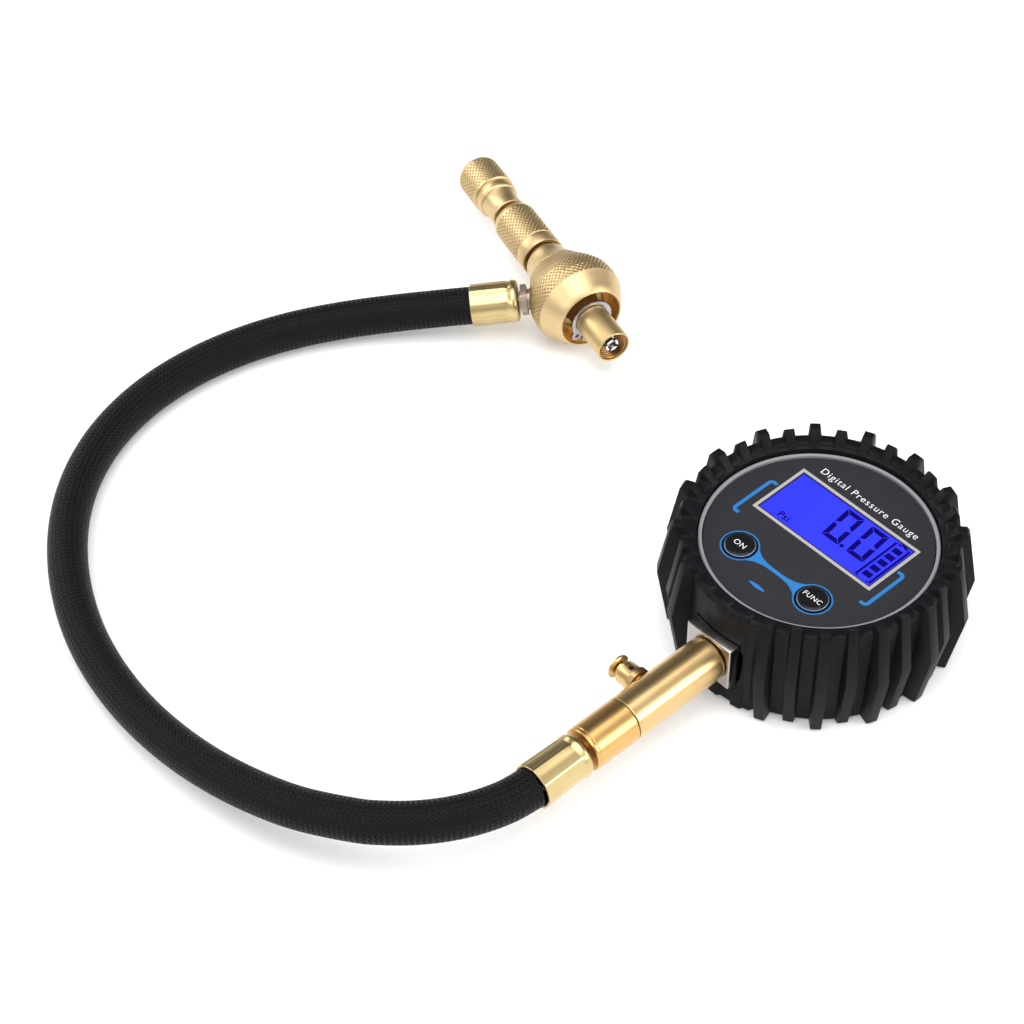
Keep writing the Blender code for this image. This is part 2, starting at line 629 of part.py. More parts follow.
BRASS = material("brass", (0.72, 0.53, 0.25), 0.28, 1.0)
NICKEL = material("nickel", (0.62, 0.6, 0.58), 0.25, 1.0)
CHROME = material("chrome", (0.8, 0.8, 0.82), 0.1, 1.0)
STEEL = material("steel", (0.55, 0.55, 0.56), 0.35, 1.0)
SILVER = material("silver_ring", (0.45, 0.45, 0.46), 0.4, 0.6)
RUBBER = material("black_rubber", (0.015, 0.015, 0.016), 0.7)
CASE_PLASTIC = material("case_plastic", (0.03, 0.03, 0.032), 0.5)
FACE_BLACK = material("face_plastic", (0.035, 0.035, 0.04), 0.45)
BOARD_GREEN = material("board_green", (0.02, 0.16, 0.06), 0.5)
LCD = material("display_blue", (0.05, 0.05, 0.9), 0.3)
WINDOW = material("display_window", (0.05, 0.05, 1.0), 0.1)
BATTERY = material("battery_wrap", (0.25, 0.25, 0.27), 0.35)
CUTTER = material("cutter", (0.8, 0.1, 0.1), 0.5)

STEM = axis_empty("stem_axis", (0.0, 0.0, STEM_Z), (0.0, -1.0, 0.0), (1.0, 0.0, 0.0))
BLEEDER = axis_empty("bleeder_axis", (0.0, -BLEEDER_AT, STEM_Z), (-1.0, 0.0, 0.0), (0.0, 1.0, 0.0))

heading = math.radians(DEFLATOR_HEADING_DEG)
to_knob = Vector((math.cos(heading), math.sin(heading), 0.0))
level_side = Vector((to_knob.y, -to_knob.x, 0.0)) * -1.0
roll = math.radians(PORT_ROLL_DEG)
port_side = math.cos(roll) * level_side + math.sin(roll) * Vector((0.0, 0.0, 1.0))
DEFLATOR = axis_empty("deflator_axis", DEFLATOR_TIP, to_knob, port_side)
lean = math.radians(PORT_LEAN_DEG)
port_out = math.cos(lean) * to_knob + math.sin(lean) * port_side
port_root = Vector(DEFLATOR_TIP) + PORT_AT * to_knob
PORT = axis_empty("port_axis", port_root, port_out, to_knob)
bpy.context.view_layer.update()

make_boot()
make_case()
make_case_closure()
make_face_plate()
make_display()
make_board()
make_buttons()
make_batteries()
make_battery_cover()
make_sensor()
make_socket()
make_stem_tube()
make_swivel()
make_ferrule_at_gauge()
make_bleeder()
make_hose()
make_port()
make_slide_collar()
make_deflator_body()
make_deflator_seals()
make_retaining_ring()
make_gland_nut()
make_pull_rod()
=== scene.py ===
"""Looks of the digital tire pressure gauge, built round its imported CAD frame.

Every shape is written in millimetres, in the frame of the axis that it is turned about, and becomes metres
when its mesh is made. The CAD's joints give those axes. The origin is the centre of the gauge's back face,
+Z is up and +Y is 12 o'clock on the dial. A turned outline is a closed loop of (radius, distance) points.
"""

import json
import math

import bmesh
import bpy
import numpy as np
from mathutils import Matrix, Vector


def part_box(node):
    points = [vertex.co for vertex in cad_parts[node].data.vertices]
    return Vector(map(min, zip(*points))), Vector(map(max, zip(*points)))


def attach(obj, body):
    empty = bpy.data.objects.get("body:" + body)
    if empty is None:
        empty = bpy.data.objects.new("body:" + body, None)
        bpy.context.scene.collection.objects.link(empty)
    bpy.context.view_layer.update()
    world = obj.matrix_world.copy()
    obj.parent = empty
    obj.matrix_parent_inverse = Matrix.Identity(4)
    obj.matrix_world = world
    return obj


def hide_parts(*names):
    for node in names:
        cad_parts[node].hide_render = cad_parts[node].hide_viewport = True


MM = 0.001
TURN = 2 * math.pi

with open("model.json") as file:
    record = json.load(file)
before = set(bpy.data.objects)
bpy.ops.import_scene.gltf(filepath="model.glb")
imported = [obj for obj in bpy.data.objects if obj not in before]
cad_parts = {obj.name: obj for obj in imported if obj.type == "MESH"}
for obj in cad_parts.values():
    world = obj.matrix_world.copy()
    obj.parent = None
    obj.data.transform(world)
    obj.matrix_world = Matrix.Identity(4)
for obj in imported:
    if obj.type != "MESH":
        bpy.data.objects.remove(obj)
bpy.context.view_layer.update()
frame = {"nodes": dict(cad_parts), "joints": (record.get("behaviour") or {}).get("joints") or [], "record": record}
JOINTS = {joint["name"]: joint for joint in frame["joints"]}
NODES = frame["nodes"]

# Camera, as the object was photographed.
CAMERA_AT = (371.9, -467.9, 667.0)
CAMERA_TOWARDS = (-0.5044, 0.4703, -0.7242)
CAMERA_LENS = 105.47

# Light. Each softbox has its place in metres, its size in metres and its power in watts.
SOFTBOXES = {
    "top_softbox": ((0.12, -0.15, 1.5), (1.5, 1.5), 26.0),
    "right_softbox": ((0.85, 0.5, 0.45), (0.9, 0.4), 7.0),
    "left_softbox": ((-0.9, -0.2, 0.5), (0.8, 0.4), 4.6),
    "front_softbox": ((0.1, -1.0, 0.6), (0.9, 0.4), 3.5),
}
LIT_POINT = (-0.06, -0.04, 0.0)
DARK_END = (-0.504, 0.470, 0.724)
WORLD_LIGHT = 0.55
WORLD_DARK = 0.06

# Gauge head.
FACE_TOP = 34.2
FACE_R = 33.5
PRINT = 0.03  # how far a printed mark stands on its surface
LCD_CENTRE = (0.0, 7.2)
LCD_FRAME = (46.0, 22.0)
LCD_LINE = 1.0
DIGIT_SIZE = (6.5, 13.0)
DIGIT_BAR = 1.6
DIGIT_LEAN = -0.09
DIGIT_PLACES = ((-2.4, 2.9), (7.1, 2.9))
CELL_SIZE = (2.9, 2.1)
CELL_PITCH = 3.15
FIRST_CELL = (18.2, 0.8)
BUTTONS = {"on": ("ON", -14.3), "mode": ("FUNC", 14.3)}
BUTTON_Y = -18.0
LABEL_WIDTHS = {"ON": 4.1, "FUNC": 6.5}
BUTTON_RING_R = 5.85
CAP_TOP = 34.95
LINK_REACH = 11.3
MARK_Y = -25.9
BRACKET_LINE = 1.15
TITLE_Y = 20.6
TITLE_WIDTH = 37.4

# Boot.
BOOT_TOP = 40.4
LIP_TOP = 37.5
LUG_COUNT = 32
LUG_HALF_TIP = 2.1
LUG_HALF_ROOT = 2.9
PANEL = (-112.0, -68.0)

# Stem, by distance from the gauge's axis.
STEM_R = 6.9
SOCKET_SIDES = (-9.1, 7.8)
SOCKET_HALF_HEIGHT = 7.9
SOCKET_FACE = 44.2
SLEEVE_START = 78.5
SLEEVE_END = 94.5
FERRULE_START = 96.0
FERRULE_END = 113.5

# Deflator, by distance from its open end.
ROOT_AT = 27.9
TUBE_R = 5.65
GLAND_R = 7.35
PORT_LEAN = math.radians(63.5)
PORT_ROLL = math.radians(-8.63)
PORT_FERRULE_START = 17.4
PORT_FERRULE_END = 32.8
RING_EAR = math.radians(-60.6)  # from level
RING_START = 14.7
RING_END = 15.5

# Hose: the same route as in part.py.
HOSE_R = 6.1
HOSE_SIDES = 48
HOSE_ROUTE = [
    (0.0, -113.8, 18.0), (-1.0, -122.2, 18.2), (-3.5, -130.6, 18.5), (-7.3, -138.4, 18.7),
    (-12.3, -145.4, 18.6), (-18.3, -151.5, 18.2), (-25.1, -156.7, 17.6), (-40.1, -164.4, 15.7),
    (-56.1, -169.1, 13.5), (-72.4, -171.7, 11.3), (-88.8, -172.4, 9.3), (-105.0, -171.4, 7.7),
    (-121.0, -168.7, 6.8), (-136.5, -164.2, 6.3), (-151.3, -157.7, 6.3), (-165.1, -149.3, 6.3),
    (-177.6, -139.0, 6.3), (-188.2, -126.8, 6.3), (-196.4, -112.9, 6.3), (-201.8, -97.6, 6.3),
    (-204.2, -81.6, 6.3), (-203.7, -65.5, 6.3), (-200.6, -49.6, 6.3), (-195.0, -34.5, 6.6),
    (-187.2, -20.2, 7.1), (-177.8, -7.0, 8.1), (-167.3, 5.4, 9.7),
]
CRIMP_JAWS = 8
BRAID_STRANDS = 26
BRAID_PITCH = 1.5

# Edges and knurled grips.
SHARP_ANGLE = 32  # degrees
SUNK = "sunk"  # the mesh attribute that says how far a point lies below its grip's outline
GRIP_PITCH = 1.65
GRIP_DEPTH = 0.27
COLLAR_DIAMONDS = 56
GLAND_DIAMONDS = 28
GRIP_STEPS = 6  # mesh rows to each diamond, along the grip and round it


# ---------------------------------------------------------------- axes


def axis_frame(origin, z_axis, x_hint):
    """The matrix of a frame whose Z axis is a turned piece's axis; origin in millimetres."""
    z_axis = Vector(z_axis).normalized()
    x_axis = Vector(x_hint) - Vector(x_hint).dot(z_axis) * z_axis
    x_axis.normalize()
    turn = Matrix((x_axis, z_axis.cross(x_axis), z_axis)).transposed().to_4x4()
    return Matrix.Translation(Vector(origin) * MM) @ turn


def middle(node):
    low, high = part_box(node)
    return (low + high) / 2 / MM


HEAD = Matrix.Identity(4)
STEM = axis_frame((0.0, 0.0, JOINTS["hose_swivel"]["pos_m"][2] / MM), (0, -1, 0), (1, 0, 0))
BLEEDER = axis_frame((0.0, *middle("bleed_button")[1:]), -Vector(JOINTS["bleed_press"]["axis"]), (0, 1, 0))

to_knob = Vector(JOINTS["tube_turn"]["axis"])
port_root = Vector(JOINTS["tube_turn"]["pos_m"]) / MM
level_side = Vector((-to_knob.y, to_knob.x, 0.0))
port_side = math.cos(PORT_ROLL) * level_side + math.sin(PORT_ROLL) * Vector((0.0, 0.0, 1.0))
DEFLATOR = axis_frame(port_root - ROOT_AT * to_knob, to_knob, level_side)
port_out = math.cos(PORT_LEAN) * to_knob + math.sin(PORT_LEAN) * port_side
PORT = axis_frame(port_root, port_out, to_knob)


# ---------------------------------------------------------------- materials


class Finish:
    """A Principled material, with short names for the nodes that its pattern uses."""

    def __init__(self, name, colour, roughness, metallic=0.0):
        self.material = bpy.data.materials.new(name)
        self.material.use_nodes = True
        self.tree = self.material.node_tree
        self.shader = self.tree.nodes["Principled BSDF"]
        self.set("Base Color", (*colour, 1.0))
        self.set("Roughness", roughness)
        self.set("Metallic", metallic)

    def set(self, socket, value):
        self.shader.inputs[socket].default_value = value

    def node(self, kind, **inputs):
        made = self.tree.nodes.new(kind)
        for name, value in inputs.items():
            self.feed(made.inputs[name.replace("_", " ")], value)
        return made

    def feed(self, socket, value):
        if isinstance(value, bpy.types.NodeSocket):
            self.tree.links.new(value, socket)
        else:
            socket.default_value = value

    def math(self, operation, first, second=0.0):
        made = self.tree.nodes.new("ShaderNodeMath")
        made.operation = operation
        self.feed(made.inputs[0], first)
        self.feed(made.inputs[1], second)
        return made.outputs[0]

    def place(self, kind="Object"):
        return self.tree.nodes.new("ShaderNodeTexCoord").outputs[kind]

    def noise(self, scale, detail=2.0, stretch=None):
        where = self.place()
        if stretch is not None:
            mapping = self.node("ShaderNodeMapping", Vector=where)
            mapping.inputs["Scale"].default_value = stretch
            where = mapping.outputs["Vector"]
        return self.node("ShaderNodeTexNoise", Vector=where, Scale=scale, Detail=detail).outputs["Fac"]

    def between(self, factor, low, high):
        made = self.node("ShaderNodeMapRange", Value=factor)
        made.inputs["From Min"].default_value = 0.3
        made.inputs["From Max"].default_value = 0.7
        made.inputs["To Min"].default_value = low
        made.inputs["To Max"].default_value = high
        return made.outputs["Result"]

    def blend(self, factor, first, second, socket="Base Color"):
        made = self.tree.nodes.new("ShaderNodeMix")
        made.data_type = "RGBA"
        self.feed(made.inputs["Factor"], factor)
        self.feed(made.inputs["A"], (*first, 1.0))
        self.feed(made.inputs["B"], (*second, 1.0))
        colours = [output for output in made.outputs if output.type == "RGBA"]
        self.tree.links.new(colours[0], self.shader.inputs[socket])

    def rough(self, factor, low, high):
        self.tree.links.new(self.between(factor, low, high), self.shader.inputs["Roughness"])

    def bump(self, height, strength, distance):
        made = self.node("ShaderNodeBump", Strength=strength, Distance=distance * MM, Height=height)
        self.tree.links.new(made.outputs["Normal"], self.shader.inputs["Normal"])


def brass(name, light, dark, roughness, marks):
    """Turned brass: fine rings round the axis, a slight cloudiness, and uneven polish."""
    made = Finish(name, light, roughness, 1.0)
    cloud = made.noise(70.0, 3.0)
    made.blend(cloud, light, dark)
    rings = made.noise(1.0, 3.0, (40.0, 40.0, 2600.0))
    made.rough(rings, roughness - 0.4 * marks, roughness + 0.6 * marks)
    made.bump(rings, marks, 0.05)
    return made


def knurled_brass(name, light, dark, pit_shade, roughness, marks):
    """Turned brass whose knurl has painted shade: its pits are coloured darker the deeper they lie."""
    made = brass(name, light, dark, roughness, marks)
    depth = made.tree.nodes.new("ShaderNodeAttribute")
    depth.attribute_name = SUNK
    share = made.math("MULTIPLY", depth.outputs["Fac"], 1.0 / GRIP_DEPTH)
    # Painted shade: the colour darkens towards the bottom of each pit.
    made.blend(made.math("POWER", share, 1.5), light, pit_shade)
    return made


def plated(name, colour, roughness):
    made = Finish(name, colour, roughness, 1.0)
    streaks = made.noise(1.0, 3.0, (900.0, 60.0, 60.0))
    made.rough(streaks, roughness * 0.8, roughness * 1.3)
    made.bump(streaks, 0.008, 0.05)
    return made.material


def moulded(name, colour, roughness, grain, dust=1.5, shine=0.5):
    """Moulded rubber or plastic: a fine grain and a slightly uneven, dusty surface."""
    made = Finish(name, colour, roughness)
    made.set("Specular IOR Level", shine)
    made.blend(made.noise(90.0, 4.0), colour, tuple(channel * dust for channel in colour))
    speckle = made.noise(3800.0, 2.0)
    made.rough(speckle, roughness - 0.08, roughness + 0.08)
    made.bump(speckle, grain, 0.06)
    return made.material


def printed(name, colour):
    made = Finish(name, colour, 0.5)
    made.blend(made.noise(1500.0), colour, tuple(channel * 0.88 for channel in colour))
    return made.material


def lit(name, colour, edge, strength):
    """A backlit surface, a little uneven in its light."""
    made = Finish(name, tuple(channel * 0.2 for channel in colour), 0.25)
    made.set("Specular IOR Level", 0.15)
    made.blend(made.noise(45.0, 1.0), colour, edge, "Emission Color")
    made.set("Emission Strength", strength)
    return made.material


def braided(name):
    """Black rubber hose with a woven cover: crossing strands that pass over and under each other."""
    made = Finish(name, (0.005, 0.005, 0.006), 0.5)
    made.set("Specular IOR Level", 0.09)
    where = made.node("ShaderNodeSeparateXYZ", Vector=made.place("UV"))
    round_way = made.math("MULTIPLY", where.outputs["X"], float(BRAID_STRANDS))
    along = made.math("DIVIDE", where.outputs["Y"], BRAID_PITCH * MM)
    left = made.math("ADD", round_way, along)
    right = made.math("SUBTRACT", round_way, along)
    strands = []
    for way in (left, right):
        across = made.math("SUBTRACT", made.math("FRACT", way), 0.5)
        hump = made.math("SUBTRACT", 0.25, made.math("MULTIPLY", across, across))
        strands.append(made.math("MULTIPLY", hump, 4.0))
    cells = made.math("ADD", made.math("FLOOR", left), made.math("FLOOR", right))
    even = made.math("FRACT", made.math("MULTIPLY", cells, 0.5))
    over = made.math("GREATER_THAN", even, 0.25)
    first = made.math("MULTIPLY", strands[0], over)
    second = made.math("MULTIPLY", strands[1], made.math("SUBTRACT", 1.0, over))
    weave = made.math("ADD", first, second)
    made.bump(weave, 0.85, 0.25)
    # Painted shade: the strands' colour darkens towards the grooves between them.
    made.blend(weave, (0.001, 0.001, 0.0015), (0.0065, 0.0065, 0.0075))
    made.rough(made.noise(1200.0, 3.0), 0.38, 0.55)
    return made.material


MATERIALS = {
    "brass": brass("brass_satin", (0.62, 0.465, 0.23), (0.55, 0.40, 0.185), 0.42, 0.12).material,
    "nickel": plated("nickel_plate", (0.40, 0.37, 0.36), 0.16),
    "chrome": plated("chrome_plate", (0.74, 0.74, 0.77), 0.09),
    "steel": plated("plain_steel", (0.42, 0.41, 0.43), 0.3),
    "silver_ring": moulded("silver_paint", (0.22, 0.22, 0.23), 0.4, 0.05, 1.1, 0.3),
    "black_rubber": moulded("boot_rubber", (0.0042, 0.0042, 0.0050), 0.45, 0.22, 1.5, 0.1),
    "hose_rubber": braided("braided_hose"),
    "case_plastic": moulded("case_plastic", (0.016, 0.016, 0.018), 0.5, 0.15, 1.5, 0.35),
    "face_plastic": moulded("dial_plastic", (0.020, 0.020, 0.023), 0.5, 0.05, 1.15, 0.15),
    "board_green": moulded("solder_mask", (0.02, 0.16, 0.06), 0.4, 0.05),
    "display_blue": lit("display_lamp", (0.03, 0.04, 1.0), (0.02, 0.02, 0.85), 0.75),
    "display_window": lit("display_glass", (0.040, 0.050, 1.0), (0.025, 0.030, 0.9), 1.0),
    "battery_wrap": moulded("battery_wrap", (0.25, 0.25, 0.27), 0.35, 0.03),
}
# The fourth colour is the painted shade at the bottom of the knurl's pits.
KNURL_BRASS = knurled_brass(
    "brass_knurled", (0.60, 0.45, 0.235), (0.54, 0.395, 0.185), (0.20, 0.13, 0.05), 0.42, 0.08
).material
STEM_BRASS = brass("brass_bright", (0.74, 0.52, 0.25), (0.54, 0.365, 0.15), 0.3, 0.006).material
SLEEVE_BRASS = brass("brass_warm", (0.72, 0.46, 0.18), (0.50, 0.295, 0.095), 0.3, 0.005).material
FERRULE_BRASS = brass("brass_pale", (0.70, 0.56, 0.29), (0.42, 0.31, 0.13), 0.3, 0.006).material
# Darker brass for recessed parts: painted shade inside bores and mouths.
SHADED_BORE_BRASS = brass("brass_bore_painted_shade", (0.36, 0.19, 0.07), (0.26, 0.13, 0.045), 0.33, 0.03).material
# A darker, warmer copy of the brass for the inside of the collar's mouth: painted shade.
SHADED_LINING_BRASS = brass("brass_lining_painted_shade", (0.58, 0.36, 0.14), (0.46, 0.27, 0.09), 0.3, 0.02).material
PORT_NICKEL = plated("nickel_satin", (0.39, 0.31, 0.25), 0.42)
GLOSS_BLACK = moulded("key_plastic", (0.006, 0.006, 0.007), 0.25, 0.02, 1.5, 0.2)
WHITE_INK = printed("white_ink", (0.75, 0.75, 0.75))
BLUE_INK = printed("blue_ink", (0.010, 0.15, 0.42))
PALE_BLUE_INK = printed("pale_blue_ink", (0.17, 0.30, 0.50))
CREAM_INK = printed("cream_ink", (0.36, 0.35, 0.33))
SEGMENT_INK = lit("display_segment", (0.006, 0.002, 0.20), (0.006, 0.002, 0.16), 0.6)

for entry in frame["record"]["subparts"]:
    slots = NODES[entry["node"]].data.materials
    slots.clear()
    slots.append(MATERIALS[entry["material_slot"]])


# ---------------------------------------------------------------- mesh helpers


def add_piece(name, mesh, mat, body, where=HEAD, smooth=True, stands_for=()):
    """Adds a mesh in millimetres as a piece in metres, in a frame, riding on a CAD body."""
    for vertex in mesh.vertices:
        vertex.co *= MM
    if smooth:
        mesh.shade_smooth()
        mesh.set_sharp_from_angle(angle=math.radians(SHARP_ANGLE))
    mesh.materials.clear()
    mesh.materials.append(mat)
    made = bpy.data.objects.new(name, mesh)
    bpy.context.scene.collection.objects.link(made)
    made.matrix_world = where
    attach(made, body)
    if stands_for:
        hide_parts(*stands_for)
    return made


def mesh_from(name, points, faces):
    mesh = bpy.data.meshes.new(name)
    mesh.from_pydata([tuple(point) for point in points], [], faces)
    mesh.validate()
    shape = bmesh.new()
    shape.from_mesh(mesh)
    bmesh.ops.recalc_face_normals(shape, faces=shape.faces)
    shape.to_mesh(mesh)
    shape.free()
    return mesh


def turned_mesh(name, outline, sides, reshape=None):
    """Turns a closed outline about Z. reshape(radius, angle, mark) moves the points of marked rows, and
    each point keeps how far in it was moved, in millimetres."""
    points = []
    sunk = []
    rings = []
    for radius, height, *mark in outline:
        if radius < 1e-6:
            rings.append([len(points)] * sides)
            points.append((0.0, 0.0, height))
            sunk.append(0.0)
            continue
        rings.append(list(range(len(points), len(points) + sides)))
        for step in range(sides):
            angle = TURN * step / sides
            out = reshape(radius, angle, mark[0]) if mark else radius
            points.append((out * math.cos(angle), out * math.sin(angle), height))
            sunk.append(radius - out)
    faces = []
    for index, ring in enumerate(rings):
        after = rings[(index + 1) % len(rings)]
        for step in range(sides):
            other = (step + 1) % sides
            face = list(dict.fromkeys([ring[step], ring[other], after[other], after[step]]))
            if len(face) > 2:
                faces.append(face)
    mesh = mesh_from(name, points, faces)
    mesh.attributes.new(SUNK, "FLOAT", "POINT").data.foreach_set("value", sunk)
    return mesh


def turned(name, outline, mat, body, where, stands_for=(), sides=96, reshape=None):
    mesh = turned_mesh(name, outline, sides, reshape)
    return add_piece(name, mesh, mat, body, where, True, stands_for)


def rounded(corner, before, after, radius, steps=3):
    """Points of an arc that rounds an outline's corner."""
    corner, before, after = Vector(corner), Vector(before), Vector(after)
    start = corner + (before - corner).normalized() * radius
    end = corner + (after - corner).normalized() * radius
    points = []
    for step in range(steps + 1):
        part = step / steps
        points.append(tuple((1 - part) ** 2 * start + 2 * part * (1 - part) * corner + part**2 * end))
    return points


def soften(outline, radius, steps=3):
    """An outline with every corner rounded, as far as its neighbours leave room."""
    made = []
    count = len(outline)
    for index, corner in enumerate(outline):
        before, after = outline[index - 1], outline[(index + 1) % count]
        room = min((Vector(corner) - Vector(before)).length, (Vector(corner) - Vector(after)).length) * 0.45
        if corner[0] < 1e-6 or room < 0.02:
            made.append(corner)
        else:
            made += rounded(corner, before, after, min(radius, room), steps)
    return made


def knurl_rows(points):
    """Rows along a profile, marked with how far along the pattern of diamonds they are."""
    rows = []
    profile = [Vector(point) for point in points]
    lengths = [(after - before).length for before, after in zip(profile, profile[1:])]
    count = round(sum(lengths) / GRIP_PITCH * GRIP_STEPS)
    for row in range(count + 1):
        left = sum(lengths) * row / count
        index = 0
        while index < len(lengths) - 1 and left > lengths[index]:
            left -= lengths[index]
            index += 1
        spot = profile[index].lerp(profile[index + 1], min(1.0, left / lengths[index]))
        rows.append((spot.x, spot.y, row / GRIP_STEPS))
    return rows


def diamonds(count):
    """The reshape of a knurl whose crossing ridges leave that many rows of diamond pits round the piece."""

    def height(value):
        return abs(2 * (value % 1.0) - 1)

    def reshape(radius, angle, row):
        turn = angle * count / TURN
        return radius - GRIP_DEPTH * (1 - max(height(turn + row), height(turn - row)))

    return reshape


def crimps(depth):
    """The reshape of a ferrule pressed by a die with jaws: mark 0 is round and 1 is fully pressed."""

    def reshape(radius, angle, share):
        half = math.pi / CRIMP_JAWS
        offset = (angle % (2 * half)) - half
        flat = radius * math.cos(half * 0.8) / math.cos(min(abs(offset), half * 0.8))
        pressed = 1 if abs(offset) < half * 0.86 else 0.2
        return radius - share * min(radius - flat + depth * 0.3, depth) * pressed

    return reshape


def prism_mesh(name, loops, low, high):
    """A flat shape of closed loops, where an inner loop is a hole, raised from low to high."""
    curve = bpy.data.curves.new(name, "CURVE")
    curve.dimensions = "2D"
    curve.fill_mode = "BOTH"
    curve.extrude = (high - low) / 2
    for loop in loops:
        spline = curve.splines.new("POLY")
        spline.points.add(len(loop) - 1)
        for target, (x, y) in zip(spline.points, loop):
            target.co = (x, y, 0.0, 1.0)
        spline.use_cyclic_u = True
    helper = bpy.data.objects.new(name, curve)
    mesh = bpy.data.meshes.new_from_object(helper)
    bpy.data.objects.remove(helper)
    mesh.transform(Matrix.Translation((0.0, 0.0, (low + high) / 2)))
    return mesh


def circle(centre, radius, steps=64, start=0.0, end=TURN):
    """Points round a circle, or along a part of one."""
    whole = abs(end - start - TURN) < 1e-6
    spread = [start + (end - start) * step / (steps if whole else steps - 1) for step in range(steps)]
    return [(centre[0] + radius * math.cos(turn), centre[1] + radius * math.sin(turn)) for turn in spread]


def rectangle(centre, size):
    half_x, half_y = size[0] / 2, size[1] / 2
    corners = [(-half_x, -half_y), (half_x, -half_y), (half_x, half_y), (-half_x, half_y)]
    return [(centre[0] + x, centre[1] + y) for x, y in corners]


def stroke(points, width):
    """The closed outline of a line of that width."""
    left, right = [], []
    for index, point in enumerate(points):
        before = Vector(points[max(index - 1, 0)])
        after = Vector(points[min(index + 1, len(points) - 1)])
        along = (after - before).normalized()
        side = Vector((-along.y, along.x)) * width / 2
        left.append(tuple(Vector(point) + side))
        right.append(tuple(Vector(point) - side))
    return left + right[::-1]


def flat(name, loops, mat, z=FACE_TOP, thick=PRINT, slot="face_plastic"):
    """A thin printed or cut shape lying on the dial."""
    add_piece(name, prism_mesh(name, loops, z, z + thick), mat, "gauge", HEAD, False, ())


def lettering(
    name, text, width, centre, mat, bold, body="gauge", z=FACE_TOP, baseline=None, spread=1.12
):
    """Letters of a given overall width, centred on a point, or standing on a baseline."""
    curve = bpy.data.curves.new(name, "FONT")
    curve.body = text
    curve.size = 1.0
    curve.offset = bold / 10
    curve.extrude = 0.005
    curve.space_character = spread
    helper = bpy.data.objects.new(name, curve)
    mesh = bpy.data.meshes.new_from_object(helper)
    bpy.data.objects.remove(helper)
    points = np.array([vertex.co for vertex in mesh.vertices])
    low, high = points.min(axis=0), points.max(axis=0)
    scale = width / (high[0] - low[0])
    drop = (low[1] + high[1]) / 2 if baseline is None else 0.0
    up = centre[1] if baseline is None else baseline
    for vertex in mesh.vertices:
        x, y, depth = vertex.co
        vertex.co = (
            centre[0] + (x - (low[0] + high[0]) / 2) * scale,
            up + (y - drop) * scale,
            z + PRINT / 2 + math.copysign(PRINT / 2, depth),
        )
    add_piece(name, mesh, mat, body, HEAD, False, ())


def modify(target, kind, **settings):
    made = target.modifiers.new(kind.lower(), kind)
    for name, value in settings.items():
        setattr(made, name, value)


def cut(target, tool_mesh, where, operation="DIFFERENCE"):
    """Cuts or joins a helper shape, keeps the result, and removes the helper."""
    for vertex in tool_mesh.vertices:
        vertex.co *= MM
    tool = bpy.data.objects.new("tool", tool_mesh)
    bpy.context.scene.collection.objects.link(tool)
    tool.matrix_world = where
    modify(target, "BOOLEAN", object=tool, operation=operation, solver="EXACT")
    keep_modifiers(target)
    bpy.data.objects.remove(tool)


def keep_modifiers(target, sharp=SHARP_ANGLE):
    """Makes the modifiers' result the piece's own mesh."""
    bpy.context.view_layer.update()
    graph = bpy.context.evaluated_depsgraph_get()
    mesh = bpy.data.meshes.new_from_object(target.evaluated_get(graph))
    target.modifiers.clear()
    target.data = mesh
    mesh.shade_smooth()
    mesh.set_sharp_from_angle(angle=math.radians(sharp))


def box_mesh(low, high):
    corners = [(x, y, z) for x in (low[0], high[0]) for y in (low[1], high[1]) for z in (low[2], high[2])]
    faces = [(0, 1, 3, 2), (4, 6, 7, 5), (0, 4, 5, 1), (2, 3, 7, 6), (0, 2, 6, 4), (1, 5, 7, 3)]
    return mesh_from("box", corners, faces)


# ---------------------------------------------------------------- camera and hose


def make_camera():
    data = bpy.data.cameras.new("camera")
    data.lens = CAMERA_LENS
    data.sensor_width = 36.0
    data.clip_end = 20.0
    camera = bpy.data.objects.new("camera", data)
    bpy.context.scene.collection.objects.link(camera)
    camera.location = Vector(CAMERA_AT) * MM
    camera.rotation_euler = Vector(CAMERA_TOWARDS).to_track_quat("-Z", "Y").to_euler()
    bpy.context.scene.camera = camera


def smooth_route(points, steps=10):
    """Points on the Catmull-Rom curve through a route's points."""
    route = np.array(points)
    padded = np.vstack([2 * route[0] - route[1], route, 2 * route[-1] - route[-2]])
    fine = []
    for index in range(len(route) - 1):
        before, start, end, after = padded[index : index + 4]
        for part in np.linspace(0.0, 1.0, steps, endpoint=False):
            straight = 2 * start + (end - before) * part
            bend = (2 * before - 5 * start + 4 * end - after) * part**2
            twist = (3 * start - 3 * end + after - before) * part**3
            fine.append(0.5 * (straight + bend + twist))
    return np.array(fine + [route[-1]])


